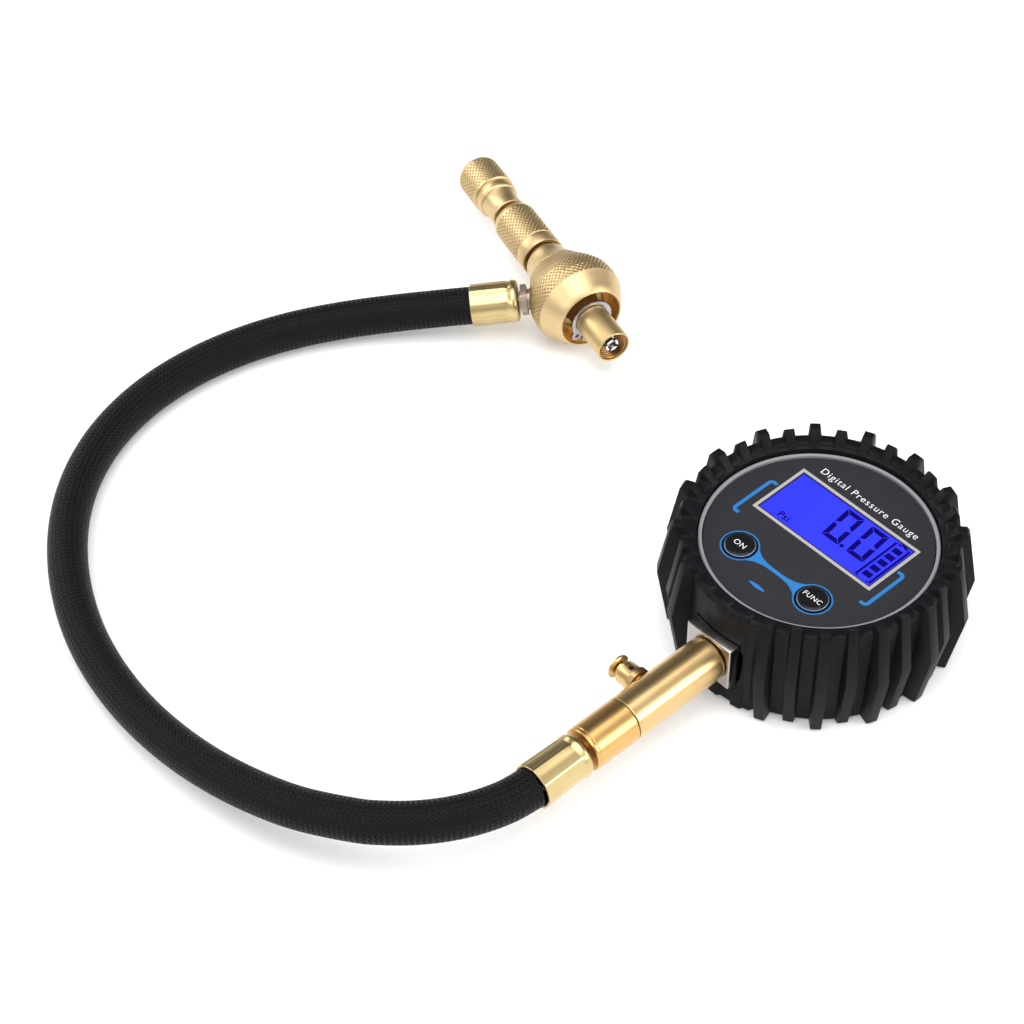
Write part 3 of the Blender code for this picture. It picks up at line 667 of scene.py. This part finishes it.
def tube_along(name, path, radius, sides):
    """A closed tube round a path, with UVs: X once round it, Y its length in metres."""
    tangents = np.gradient(path, axis=0)
    tangents /= np.linalg.norm(tangents, axis=1)[:, None]
    travelled = np.concatenate([[0.0], np.cumsum(np.linalg.norm(np.diff(path, axis=0), axis=1))])
    side = np.array([1.0, 0.0, 0.0])
    points = []
    for centre, along in zip(path, tangents):
        side = side - side.dot(along) * along
        side /= np.linalg.norm(side)
        up = np.cross(along, side)
        for step in range(sides):
            angle = TURN * step / sides
            points.append(centre + radius * (math.cos(angle) * side + math.sin(angle) * up))
    faces = []
    for row in range(len(path) - 1):
        for step in range(sides):
            other = (step + 1) % sides
            low, high = row * sides, (row + 1) * sides
            faces.append((low + step, low + other, high + other, high + step))
    walls = len(faces)
    faces.append(tuple(range(sides))[::-1])
    faces.append(tuple(range((len(path) - 1) * sides, len(path) * sides)))
    mesh = bpy.data.meshes.new(name)
    mesh.from_pydata([tuple(point) for point in points], [], faces)
    layer = mesh.uv_layers.new(name="UVMap")
    for index in range(walls):
        row, step = divmod(index, sides)
        corners = [(step, row), (step + 1, row), (step + 1, row + 1), (step, row + 1)]
        for loop, (column, level) in zip(mesh.polygons[index].loop_indices, corners):
            layer.data[loop].uv = (column / sides, travelled[level] * MM)
    return mesh, travelled[-1]


def make_hose():
    end = PORT @ Vector((0.0, 0.0, (PORT_FERRULE_END + 0.3) * MM)) / MM
    path = smooth_route(HOSE_ROUTE + [tuple(end)])
    mesh, length = tube_along("braided_hose", path, HOSE_R, HOSE_SIDES)
    rubber = MATERIALS["hose_rubber"]
    hose = add_piece("braided_hose", mesh, rubber, "hose_line", HEAD, True, ("hose",))
    make_gauge_ferrule()
    make_port_ferrule()


def ferrule_outline(start, end, shoulder, mouth, neck):
    """A crimped ferrule: a rounded shoulder and bead, then the stretch that the die pressed, then the rim."""
    wall = [
        (neck, start), (shoulder - 1.5, start), (shoulder - 0.6, start + 0.3), (shoulder - 0.1, start + 1.0),
        (shoulder, start + 1.9), (shoulder - 0.35, start + 2.8, 0.2), (shoulder - 0.15, start + 3.8, 0.8),
    ]
    for step in range(9):
        part = step / 8
        radius = shoulder - 0.1 + (mouth - shoulder + 0.1) * part
        wall.append((radius, start + 4.4 + (end - start - 5.0) * part, 1.0))
    return wall + [
        (mouth, end - 0.15, 0.9), (mouth - 0.1, end, 0.9), (mouth - 0.75, end),
        (shoulder - 0.75, start + 3.4), (shoulder - 0.9, start + 1.5), (neck, start + 1.5),
    ]


def make_gauge_ferrule():
    outline = ferrule_outline(FERRULE_START, FERRULE_END, 6.9, 7.1, 3.4)
    return turned("crimped_ferrule_a", outline, FERRULE_BRASS, "hose_line", STEM, ("gauge_end_ferrule",),
                  160, crimps(0.22))


def make_port_ferrule():
    outline = ferrule_outline(PORT_FERRULE_START, PORT_FERRULE_END, 6.95, 6.9, 2.2)
    return turned("crimped_ferrule_b", outline, FERRULE_BRASS, "hose_line", PORT, ("deflator_end_ferrule",),
                  160, crimps(0.25))


# ---------------------------------------------------------------- boot


def boot_columns():
    """Angle and profile of each column of the boot's wall, with smooth rubber round the stem."""
    columns = []
    pitch = 360.0 / LUG_COUNT
    for index in range(LUG_COUNT):
        centre = pitch * index
        signed = (centre + 180.0) % 360.0 - 180.0
        on_panel = PANEL[0] < signed < PANEL[1]
        root = "panel" if on_panel else "wall"
        crest = "bump" if on_panel else "tall" if index % 2 == 0 else "short"
        columns += [
            (centre - LUG_HALF_ROOT, root),
            (centre - LUG_HALF_TIP, crest),
            (centre, crest),
            (centre + LUG_HALF_TIP, crest),
            (centre + LUG_HALF_ROOT, root),
            (centre + pitch / 2, "panel" if PANEL[0] < signed + pitch / 2 < PANEL[1] else "wall"),
        ]
    return columns


def boot_profiles():
    inside = [(35.4, 36.2), (35.4, 2.3), (29.0, 2.3), (29.0, 0.0)]
    lip = [(39.5, LIP_TOP), (37.3, 37.25), (36.8, 36.9), (36.5, 36.4)]
    crown = [(39.5, BOOT_TOP), (37.4, 38.2), (36.8, 37.5), (36.5, 37.0)]
    return {
        "wall": [(38.3, 0.0), (38.7, 0.5), (39.8, 20.5), (40.5, 36.6), (40.3, 37.2)] + lip + inside,
        "panel": [(40.5, 0.0), (40.9, 0.5), (41.2, 20.5), (40.9, 36.4), (40.4, 37.1)] + lip + inside,
        "bump": [(41.4, 0.0), (41.8, 0.5), (41.2, 10.0), (41.0, 36.6), (40.4, 37.9)]
        + [(39.5, 38.2), (37.4, 37.9), (36.8, 37.3), (36.5, 37.0)] + inside,
        "short": [(40.1, 0.0), (40.6, 0.5), (44.2, 20.2), (41.0, 39.2), (40.3, 40.2)] + crown + inside,
        "tall": [(42.1, 0.0), (42.6, 0.5), (46.3, 20.8), (43.1, 38.9), (42.2, 40.2)] + crown + inside,
    }


def make_boot():
    profiles = boot_profiles()
    columns = boot_columns()
    rows = len(profiles["wall"])
    points = []
    for angle, kind in columns:
        across, up = math.cos(math.radians(angle)), math.sin(math.radians(angle))
        points += [(radius * across, radius * up, height) for radius, height in profiles[kind]]
    faces = []
    for column in range(len(columns)):
        after = (column + 1) % len(columns) * rows
        here = column * rows
        for row in range(rows):
            below = (row + 1) % rows
            faces.append((here + row, after + row, after + below, here + below))
    mesh = mesh_from("lugged_boot", points, faces)
    boot = add_piece("lugged_boot", mesh, MATERIALS["black_rubber"], "gauge", HEAD, False, ("rubber_boot",))
    socket_z = STEM.translation.z / MM
    left, right = SOCKET_SIDES[0] - 0.3, SOCKET_SIDES[1] + 0.3
    height = SOCKET_HALF_HEIGHT + 0.5
    cut(boot, box_mesh((left, -50.0, socket_z - height), (right, -30.0, socket_z + height)), HEAD)
    slot = [
        (right - 0.5, -7.0), (right + 0.5, -6.0), (right + 1.1, 1.5), (right + 1.0, 5.0), (right - 0.5, 6.5),
    ]
    side_gap = HEAD @ Matrix.Translation((0.0, 0.0, socket_z * MM)) @ Matrix.Rotation(math.pi / 2, 4, "X")
    cut(boot, prism_mesh("slot", [slot], 34.0, 50.0), side_gap)
    modify(boot, "BEVEL", width=0.25 * MM, segments=2, limit_method="ANGLE", angle_limit=math.radians(28))
    keep_modifiers(boot, 50)


# ---------------------------------------------------------------- dial


def make_face():
    opening = rectangle(LCD_CENTRE, (LCD_FRAME[0] - 2.8, LCD_FRAME[1] - 2.8))
    holes = [circle((x, BUTTON_Y), 4.9, 48) for _, x in BUTTONS.values()]
    plate = prism_mesh("dial_plate", [circle((0.0, 0.0), FACE_R, 180), opening, *holes], 32.4, FACE_TOP)
    plastic = MATERIALS["face_plastic"]
    add_piece("dial_plate", plate, plastic, "gauge", HEAD, False, ("face_plate",))
    ring = [(35.0, 32.5), (35.0, 34.7), (34.7, 35.0), (34.0, 35.0), (33.8, 34.8), (33.8, 32.5)]
    turned("light_ring", soften(ring, 0.15), MATERIALS["silver_ring"], "gauge", HEAD, ("bezel_ring",), 180)


def make_display():
    inner = (LCD_FRAME[0] - 2 * LCD_LINE, LCD_FRAME[1] - 2 * LCD_LINE)
    border = [rectangle(LCD_CENTRE, LCD_FRAME), rectangle(LCD_CENTRE, inner)]
    flat("display_border", border, CREAM_INK, thick=0.05)
    low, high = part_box("display_window")
    size = ((high.x - low.x) / MM, (high.y - low.y) / MM)
    glass = prism_mesh("display_glass", [rectangle(LCD_CENTRE, size)], low.z / MM, high.z / MM)
    add_piece("display_glass", glass, MATERIALS["display_window"], "gauge", HEAD, False, ("display_window",))
    gap = rectangle(LCD_CENTRE, (size[0] + 1.0, size[1] + 1.0))
    flat("display_edge", [gap, rectangle(LCD_CENTRE, size)], MATERIALS["display_blue"], z=high.z / MM - 0.02,
         slot="display_blue")
    return high.z / MM


def zero(left, bottom):
    """The six lit bars of a seven-segment nought, mitred at its corners and leaning a little."""
    width, height = DIGIT_SIZE
    bar, gap = DIGIT_BAR, 0.14
    inner, middle_y = bar + gap, height / 2 + gap
    top = [(gap, height), (width - gap, height), (width - inner, height - bar), (inner, height - bar)]
    side = [(0.0, height - gap), (bar, height - inner), (bar, middle_y + bar / 2), (0.0, middle_y)]
    bars = []
    for bar_points in (top, side, [(width - x, y) for x, y in side]):
        bars += [bar_points, [(x, height - y) for x, y in bar_points]]
    return [[(left + x + DIGIT_LEAN * (y - height / 2), bottom + y) for x, y in loop] for loop in bars]


def make_readout(glass_top):
    loops = [circle((5.65, 3.5), 0.7, 24)]
    for left, bottom in DIGIT_PLACES:
        loops += zero(left, bottom)
    cell_x, cell_y = FIRST_CELL
    loops += [rectangle((cell_x, cell_y + CELL_PITCH * cell), CELL_SIZE) for cell in range(5)]
    case_left = [(16.6, -1.5), (15.7, -1.5), (15.7, 15.9), (17.4, 15.9), (17.4, 16.8), (19.2, 16.8)]
    case_right = [(19.6, -1.5), (20.8, -1.5), (20.8, 15.9), (19.2, 15.9), (19.2, 17.1)]
    loops += [stroke(case_left, 0.75), stroke(case_right, 0.75)]
    flat("readout", loops, SEGMENT_INK, z=glass_top, slot="display_window")
    lettering("unit_label", "Psi", 3.9, (-13.7, 0.0), SEGMENT_INK, 0.2, z=glass_top, baseline=-1.2)


def link_half_width(x):
    """Half the width of the printed link between the keys, wider towards its ends."""
    return 0.62 + 4.5 * (abs(x) / LINK_REACH) ** 3.2


def make_key_link():
    key_x = BUTTONS["mode"][1]
    spread = math.atan2(link_half_width(LINK_REACH), key_x - LINK_REACH)
    arc = circle((key_x, BUTTON_Y), BUTTON_RING_R - 0.1, 24, math.pi + spread, math.pi - spread)
    ends = [[(sign * x, BUTTON_Y + sign * (y - BUTTON_Y)) for x, y in arc] for sign in (1, -1)]
    steps = np.linspace(-LINK_REACH, LINK_REACH, 41)[1:-1]
    top = [(x, BUTTON_Y + link_half_width(x)) for x in steps[::-1]]
    low = [(x, BUTTON_Y - link_half_width(x)) for x in steps]
    loop = ends[0] + top + ends[1] + low
    flat("key_link", [loop], BLUE_INK)


def make_print():
    lettering("dial_title", "Digital Pressure Gauge", TITLE_WIDTH, (0.0, 0.0), WHITE_INK, -0.05,
              baseline=TITLE_Y, spread=1.16)
    for side, name in ((-1, "left"), (1, "right")):
        corners = [(23.7, 7.6), (26.05, 7.6), (26.05, -8.7), (23.8, -8.7)]
        path = [corners[0]]
        path += rounded(corners[1], corners[0], corners[2], 1.3, 8)
        path += rounded(corners[2], corners[1], corners[3], 1.3, 8)
        path.append(corners[3])
        flat(f"bracket_{name}", [[(side * x, y) for x, y in stroke(path, BRACKET_LINE)]], BLUE_INK)
    for name, (_, x) in BUTTONS.items():
        outer = [circle((x, BUTTON_Y), BUTTON_RING_R), circle((x, BUTTON_Y), BUTTON_RING_R - 0.45)]
        flat(f"{name}_outer_ring", outer, BLUE_INK, thick=0.035)
        gap = [circle((x, BUTTON_Y), 5.4), circle((x, BUTTON_Y), 4.9)]
        flat(f"{name}_gap_ring", gap, GLOSS_BLACK, thick=0.02)
    half, bulge = 3.2, 0.65
    steps = np.linspace(-1.0, 1.0, 17)
    leaf = [(half * s, MARK_Y + bulge * (1 - s * s)) for s in steps]
    leaf += [(half * s, MARK_Y - bulge * (1 - s * s)) for s in steps[::-1][1:-1]]
    flat("lens_mark", [leaf], BLUE_INK)


def make_keys():
    for name, (text, x) in BUTTONS.items():
        body = f"{name}_key"
        cap = [
            (0.0, 31.2), (5.3, 31.2), (5.3, 32.0), (4.6, 32.0), (4.6, 34.35), (4.5, 34.6), (4.3, 34.78),
            (3.9, 34.9), (3.4, CAP_TOP), (0.0, CAP_TOP),
        ]
        where = Matrix.Translation((x * MM, BUTTON_Y * MM, 0.0))
        turned(f"{name}_cap", cap, GLOSS_BLACK, body, where, (f"{name}_button",), 72)
        ring = [(4.62, 34.3), (4.62, 34.5), (4.42, 34.66), (4.34, 34.66), (4.34, 34.3)]
        turned(f"{name}_cap_ring", ring, PALE_BLUE_INK, body, where, (), 72)
        lettering(f"{name}_label", text, LABEL_WIDTHS[text], (x, BUTTON_Y), WHITE_INK, -0.03, body, CAP_TOP)


# ---------------------------------------------------------------- back of the gauge


def make_back():
    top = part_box("battery_cover")[1].z / MM
    outline = [
        (0.0, 0.0), (8.0, 0.0), (8.2, 0.3), (9.0, 0.3), (9.2, 0.0), (22.6, 0.0), (22.9, 0.4), (23.5, 0.4),
        (23.8, 0.0), (25.0, 0.0), (25.3, 0.3), (25.3, top), (0.0, top),
    ]
    cover = turned("back_cover", outline, MATERIALS["case_plastic"], "gauge", HEAD, ("battery_cover",), 120)
    screw_at = middle("battery_cover_screw")
    well = Matrix.Translation((0.0, screw_at.y * MM, 0.0))
    cut(cover, turned_mesh("well", [(0.0, -1.0), (2.5, -1.0), (2.5, 3.0), (0.0, 3.0)], 48), well)
    for side in (-1, 1):
        for rib in range(5):
            x = side * (12.0 + 1.6 * rib)
            reach = 7.0 - 0.9 * rib
            cut(cover, box_mesh((x - 0.35, -reach, -1.0), (x + 0.35, reach, 0.45)), HEAD)
    head = [(0.0, 0.3), (1.7, 0.3), (2.0, 0.6), (2.0, 1.4), (0.8, 1.6), (0.8, 8.0), (0.0, 8.4)]
    screw = turned("cover_screw", head, MATERIALS["steel"], "gauge", well, ("battery_cover_screw",), 48)
    for turn in (0.0, math.pi / 2):
        cut(screw, box_mesh((-1.4, -0.25, 0.0), (1.4, 0.25, 0.8)), well @ Matrix.Rotation(turn, 4, "Z"))


# ---------------------------------------------------------------- stem


def make_socket():
    low = (SOCKET_SIDES[0], -SOCKET_HALF_HEIGHT, 30.2)
    mesh = box_mesh(low, (SOCKET_SIDES[1], SOCKET_HALF_HEIGHT, SOCKET_FACE))
    nickel = MATERIALS["nickel"]
    block = add_piece("socket_block", mesh, nickel, "gauge", STEM, False, ("gauge_socket",))
    cut(block, turned_mesh("bore", [(0.0, 34.0), (6.0, 34.0), (6.0, 50.0), (0.0, 50.0)], 64), STEM)
    modify(block, "BEVEL", width=0.35 * MM, segments=3, limit_method="ANGLE", angle_limit=math.radians(40))
    keep_modifiers(block, 50)


def make_stem():
    tube = [
        (4.6, 36.0), (5.7, 43.0), (5.7, 44.3), (6.3, 44.5), (6.7, 44.8), (STEM_R, 45.4), (STEM_R, 45.6),
        (STEM_R, 78.0), (STEM_R - 0.18, 78.2), (5.1, 78.2), (5.1, 85.2), (3.0, 85.2), (3.0, 36.0),
    ]
    turned("stem_barrel", tube, STEM_BRASS, "gauge", STEM, ("stem_tube",), 128)
    sleeve = [
        (STEM_R - 0.2, SLEEVE_START), (STEM_R, SLEEVE_START + 0.2), (STEM_R, SLEEVE_END - 1.5),
        (STEM_R - 0.14, SLEEVE_END - 1.3), (STEM_R - 0.14, SLEEVE_END - 1.1), (STEM_R, SLEEVE_END - 0.9),
        (STEM_R, SLEEVE_END - 0.5), (STEM_R - 0.4, SLEEVE_END), (3.5, SLEEVE_END), (3.5, 92.6), (5.5, 92.6),
        (5.5, SLEEVE_START),
    ]
    turned("swivel_barrel", sleeve, SLEEVE_BRASS, "gauge", STEM, ("swivel_sleeve",), 128)
    nipple = [
        (4.8, 87.4), (4.8, 92.2), (3.1, 92.2), (3.1, 97.8), (3.7, 98.8), (3.2, 101.5), (3.7, 102.0),
        (3.2, 105.5), (3.7, 106.0), (3.0, 110.5), (1.7, 110.5), (1.7, 87.4),
    ]
    # The nipple, deep in the gap between sleeve and ferrule, takes the darker brass: painted shade.
    turned("swivel_tail", nipple, SHADED_BORE_BRASS, "hose_line", STEM, ("swivel_nipple",), 48)


def make_bleed_valve():
    body = [
        (2.7, 4.0), (2.7, 6.6), (4.3, 6.7), (4.3, 8.4), (3.75, 8.6), (3.7, 8.8), (3.7, 12.3), (3.5, 12.8),
        (3.3, 13.0), (2.4, 13.0), (2.4, 6.2), (1.1, 6.2), (1.1, 4.0),
    ]
    housing = turned("bleed_housing", body, STEM_BRASS, "gauge", BLEEDER, ("bleeder_body",), 72)
    across = BLEEDER @ Matrix.Translation((0.0, 0.0, 10.0 * MM)) @ Matrix.Rotation(math.pi / 2, 4, "X")
    cut(housing, turned_mesh("vent", [(0.0, -5.0), (0.75, -5.0), (0.75, 5.0), (0.0, 5.0)], 24), across)
    # A black plug just inside the vent: painted shadow that makes the hole look dark.
    shadow_plug = [(0.0, -3.2), (0.74, -3.2), (0.74, 3.2), (0.0, 3.2)]
    turned("vent_shadow_plug", shadow_plug, GLOSS_BLACK, "gauge", across, (), 24)
    button = [
        (0.0, 2.5), (0.7, 2.5), (0.7, 9.4), (2.0, 9.4), (2.0, 13.8), (2.15, 14.05), (2.8, 14.3),
        (3.55, 14.62), (3.82, 14.9), (3.85, 15.2), (3.7, 15.55), (3.3, 15.7), (1.5, 15.62), (0.0, 15.6),
    ]
    turned("bleed_cap", button, STEM_BRASS, "bleed_key", BLEEDER, ("bleed_button",), 72)


# ---------------------------------------------------------------- deflator


def make_collar():
    front = [
        (10.2, 15.6), (10.35, 15.3), (10.6, 15.2), (10.85, 15.35), (12.2, 17.6), (14.5, 22.0), (14.75, 22.35),
    ]
    grip = [(14.78, 22.5), (15.1, 25.5), (14.8, 29.0), (13.6, 32.0), (11.9, 35.2), (9.9, 38.6)]
    back = [
        (9.8, 38.9), (8.8, 40.6), (7.9, 42.7), (7.35, 44.6), (7.1, 46.1), (6.8, 46.7), (6.6, 46.8),
        (6.0, 46.8), (6.0, 30.2), (7.2, 29.6), (7.2, 26.4), (6.0, 25.8), (6.0, 22.2), (7.9, 22.2),
        (7.9, 21.0), (10.2, 21.0),
    ]
    collar = front + knurl_rows(grip) + back
    turned("knurled_collar", collar, KNURL_BRASS, "hose_line", DEFLATOR, ("slide_collar",),
           COLLAR_DIAMONDS * GRIP_STEPS, diamonds(COLLAR_DIAMONDS))
    # A thin sheet over the collar's inner wall and floor, in the darker brass: painted shade inside the mouth.
    shade_sheet = [(10.12, 15.8), (10.25, 15.8), (10.25, 21.2), (7.85, 21.2), (7.85, 20.8), (10.12, 20.8)]
    turned("collar_shade_sheet", shade_sheet, SHADED_LINING_BRASS, "hose_line", DEFLATOR, (), 120)


def make_tube():
    outline = [
        (5.0, 0.5), (5.05, 0.15), (5.2, 0.0), (5.42, 0.0), (5.58, 0.12), (TUBE_R, 0.35),
        (TUBE_R, RING_START - 0.3), (4.8, RING_START - 0.3), (4.8, RING_END + 0.3), (TUBE_R, RING_END + 0.3),
        (TUBE_R, 23.2), (4.3, 23.2), (4.3, 25.2), (TUBE_R, 25.2), (TUBE_R, 30.8), (4.3, 30.8), (4.3, 32.8),
        (TUBE_R, 32.8), (TUBE_R, 48.0), (5.2, 48.3), (5.2, 62.4), (4.0, 62.4), (4.0, 54.0), (2.0, 54.0),
        (2.0, 34.5), (3.1, 34.5), (3.1, 9.9), (4.1, 9.9), (4.1, 8.6), (5.0, 8.6),
    ]
    turned("deflator_tube", outline, MATERIALS["brass"], "deflator_tube", DEFLATOR, ("deflator_body",), 96)
    thread = [(5.02, 8.5), (5.02, 0.6), (4.9, 0.6)]
    for turn in range(8):
        start = 0.75 + turn * 0.95
        thread += [(4.85, start), (4.4, start + 0.3), (4.4, start + 0.45), (4.85, start + 0.75)]
    # The thread inside the mouth takes the darker brass: painted shade.
    turned("mouth_thread", thread, SHADED_BORE_BRASS, "deflator_tube", DEFLATOR, (), 96)


def make_circlip():
    """The open ring in the tube's groove, with an eared hole at each end."""
    inner, outer, ear_r, ear_orbit, opening = 5.0, 7.05, 1.75, 7.3, math.radians(10)
    arc = []
    for turn in np.linspace(opening, TURN - opening, 90):
        to_ear = min(turn, TURN - turn) - opening
        reach = outer + 1.0 * max(0.0, 1 - to_ear / 0.75) ** 1.5
        arc.append((reach * math.cos(turn), reach * math.sin(turn)))
    back = circle((0.0, 0.0), inner, 90, TURN - opening, opening)
    where = DEFLATOR @ Matrix.Rotation(RING_EAR, 4, "Z")
    plate = prism_mesh("circlip", [arc + back], RING_START, RING_END)
    steel = MATERIALS["steel"]
    ring = add_piece("circlip", plate, steel, "tube_slider", where, False, ("retaining_ring",))
    low, high = RING_START + 0.02, RING_END - 0.02
    for side in (1, -1):
        turn = side * (opening + 0.13)
        across, up = ear_orbit * math.cos(turn) * MM, ear_orbit * math.sin(turn) * MM
        place = where @ Matrix.Translation((across, up, 0.0))
        ear = turned_mesh("ear", [(0.0, low), (ear_r, low), (ear_r, high), (0.0, high)], 32)
        cut(ring, ear, place, "UNION")
        hole = turned_mesh("hole", [(0.0, 10.0), (0.65, 10.0), (0.65, 18.0), (0.0, 18.0)], 24)
        cut(ring, hole, place)
    modify(ring, "BEVEL", width=0.12 * MM, segments=2, limit_method="ANGLE", angle_limit=math.radians(40))
    keep_modifiers(ring, 50)


def make_gland():
    front = [
        (5.5, 49.2), (6.5, 48.5), (6.9, 48.3), (7.2, 48.35), (GLAND_R, 48.6), (GLAND_R, 52.6), (7.12, 52.85),
        (7.12, 53.15), (GLAND_R, 53.4),
    ]
    grip = knurl_rows([(GLAND_R, 53.6), (GLAND_R, 67.2)])
    back = [
        (GLAND_R - 0.05, 67.5), (7.2, 68.2), (6.9, 69.1), (6.4, 70.0), (5.8, 70.5), (5.4, 70.6), (2.0, 70.6),
        (2.0, 64.0), (5.5, 64.0),
    ]
    turned("knurled_gland", front + grip + back, KNURL_BRASS, "deflator_tube", DEFLATOR, ("gland_nut",),
           GLAND_DIAMONDS * GRIP_STEPS, diamonds(GLAND_DIAMONDS))


def make_knob():
    front = [
        (1.9, 72.0), (5.4, 72.0), (5.75, 72.1), (5.95, 72.35), (5.95, 72.6), (5.8, 73.0), (5.74, 74.2),
        (5.72, 75.5), (5.82, 76.8), (6.02, 78.2), (6.22, 79.2), (6.3, 79.5), (6.62, 79.65), (6.85, 80.0),
        (6.95, 80.5), (6.97, 81.5), (6.9, 82.4), (6.75, 82.8), (6.75, 83.3), (7.0, 83.4), (7.3, 83.7),
        (GLAND_R, 84.0), (GLAND_R, 84.4),
    ]
    grip = knurl_rows([(GLAND_R, 84.7), (GLAND_R, 94.3)])
    back = [
        (GLAND_R - 0.06, 94.4), (7.2, 95.0), (6.9, 95.7), (6.4, 96.3), (5.6, 96.8), (4.4, 97.05),
        (2.4, 97.15), (0.0, 97.2), (0.0, 89.4), (1.9, 89.4),
    ]
    turned("knurled_knob", front + grip + back, KNURL_BRASS, "knob", DEFLATOR, ("pull_knob",),
           GLAND_DIAMONDS * GRIP_STEPS, diamonds(GLAND_DIAMONDS))


def make_claw():
    outline = [
        (2.25, 1.2), (2.3, 1.5), (2.3, 8.6), (0.0, 8.6), (0.0, 5.0), (1.3, 5.0), (1.3, 1.6), (1.5, 1.2),
    ]
    claw = turned("chrome_claw", outline, MATERIALS["chrome"], "knob", DEFLATOR, ("core_claw",), 72)
    for turn in (0.4, 0.4 + math.pi / 2):
        cut(claw, box_mesh((-4.0, -0.45, 0.0), (4.0, 0.45, 3.4)), DEFLATOR @ Matrix.Rotation(turn, 4, "Z"))
    pin = [(0.0, 2.2), (0.55, 2.3), (0.75, 2.6), (0.75, 5.0), (0.0, 5.0)]
    turned("claw_pin", pin, MATERIALS["steel"], "knob", DEFLATOR, (), 32)


def make_port():
    low, high = 14.7, 16.6
    hexagon = prism_mesh("port_hex", [circle((0.0, 0.0), 5.3, 6)], low, high)
    nut = add_piece("port_nut", hexagon, PORT_NICKEL, "hose_line", PORT, False, ())
    modify(nut, "BEVEL", width=0.3 * MM, segments=2, limit_method="ANGLE", angle_limit=math.radians(25))
    keep_modifiers(nut, 50)
    neck = [
        (3.4, 9.4), (3.4, 14.9), (4.2, 14.9), (4.2, 16.4), (3.0, 16.4), (3.0, 17.0), (2.2, 17.0), (2.2, 9.4),
    ]
    turned("port_neck", neck, PORT_NICKEL, "hose_line", PORT, ("port_fitting",), 64)


# ---------------------------------------------------------------- stage


def add_light(name, at, size, power):
    data = bpy.data.lights.new(name, "AREA")
    data.shape = "RECTANGLE"
    data.size, data.size_y = size
    data.energy = power
    light = bpy.data.objects.new(name, data)
    bpy.context.scene.collection.objects.link(light)
    light.location = at
    light.rotation_euler = (Vector(LIT_POINT) - Vector(at)).to_track_quat("-Z", "Y").to_euler()


def make_world():
    """Soft light from all round, but for the dark end of the studio that the level surfaces mirror."""
    world = bpy.data.worlds.new("studio")
    world.use_nodes = True
    nodes, links = world.node_tree.nodes, world.node_tree.links
    where = nodes.new("ShaderNodeTexCoord")
    facing = nodes.new("ShaderNodeVectorMath")
    facing.operation = "DOT_PRODUCT"
    facing.inputs[1].default_value = DARK_END
    fade = nodes.new("ShaderNodeMapRange")
    fade.inputs["From Min"].default_value = 0.45
    fade.inputs["From Max"].default_value = 0.95
    fade.inputs["To Min"].default_value = WORLD_LIGHT
    fade.inputs["To Max"].default_value = WORLD_DARK
    links.new(where.outputs["Generated"], facing.inputs[0])
    links.new(facing.outputs["Value"], fade.inputs["Value"])
    links.new(fade.outputs["Result"], nodes["Background"].inputs["Strength"])
    nodes["Background"].inputs["Color"].default_value = (0.97, 0.98, 1.0, 1.0)
    bpy.context.scene.world = world


def make_stage():
    bpy.ops.mesh.primitive_plane_add(size=12.0, location=(0.0, 0.0, -0.0004))
    floor = bpy.context.object
    floor.name = "floor"
    paper = Finish("paper", (0.86, 0.86, 0.86), 0.9)
    paper.blend(paper.noise(8.0), (0.86, 0.86, 0.86), (0.88, 0.88, 0.88))
    paper.set("Emission Color", (1.0, 1.0, 1.0, 1.0))
    paper.set("Emission Strength", 0.1)
    floor.data.materials.append(paper.material)
    make_world()
    for name, (at, size, power) in SOFTBOXES.items():
        add_light(name, at, size, power)
    bpy.context.scene.view_settings.view_transform = "Standard"


make_camera()
make_hose()
make_boot()
make_face()
make_readout(make_display())
make_key_link()
make_print()
make_keys()
make_back()
make_socket()
make_stem()
make_bleed_valve()
make_collar()
make_tube()
make_circlip()
make_gland()
make_knob()
make_claw()
make_port()
make_stage()
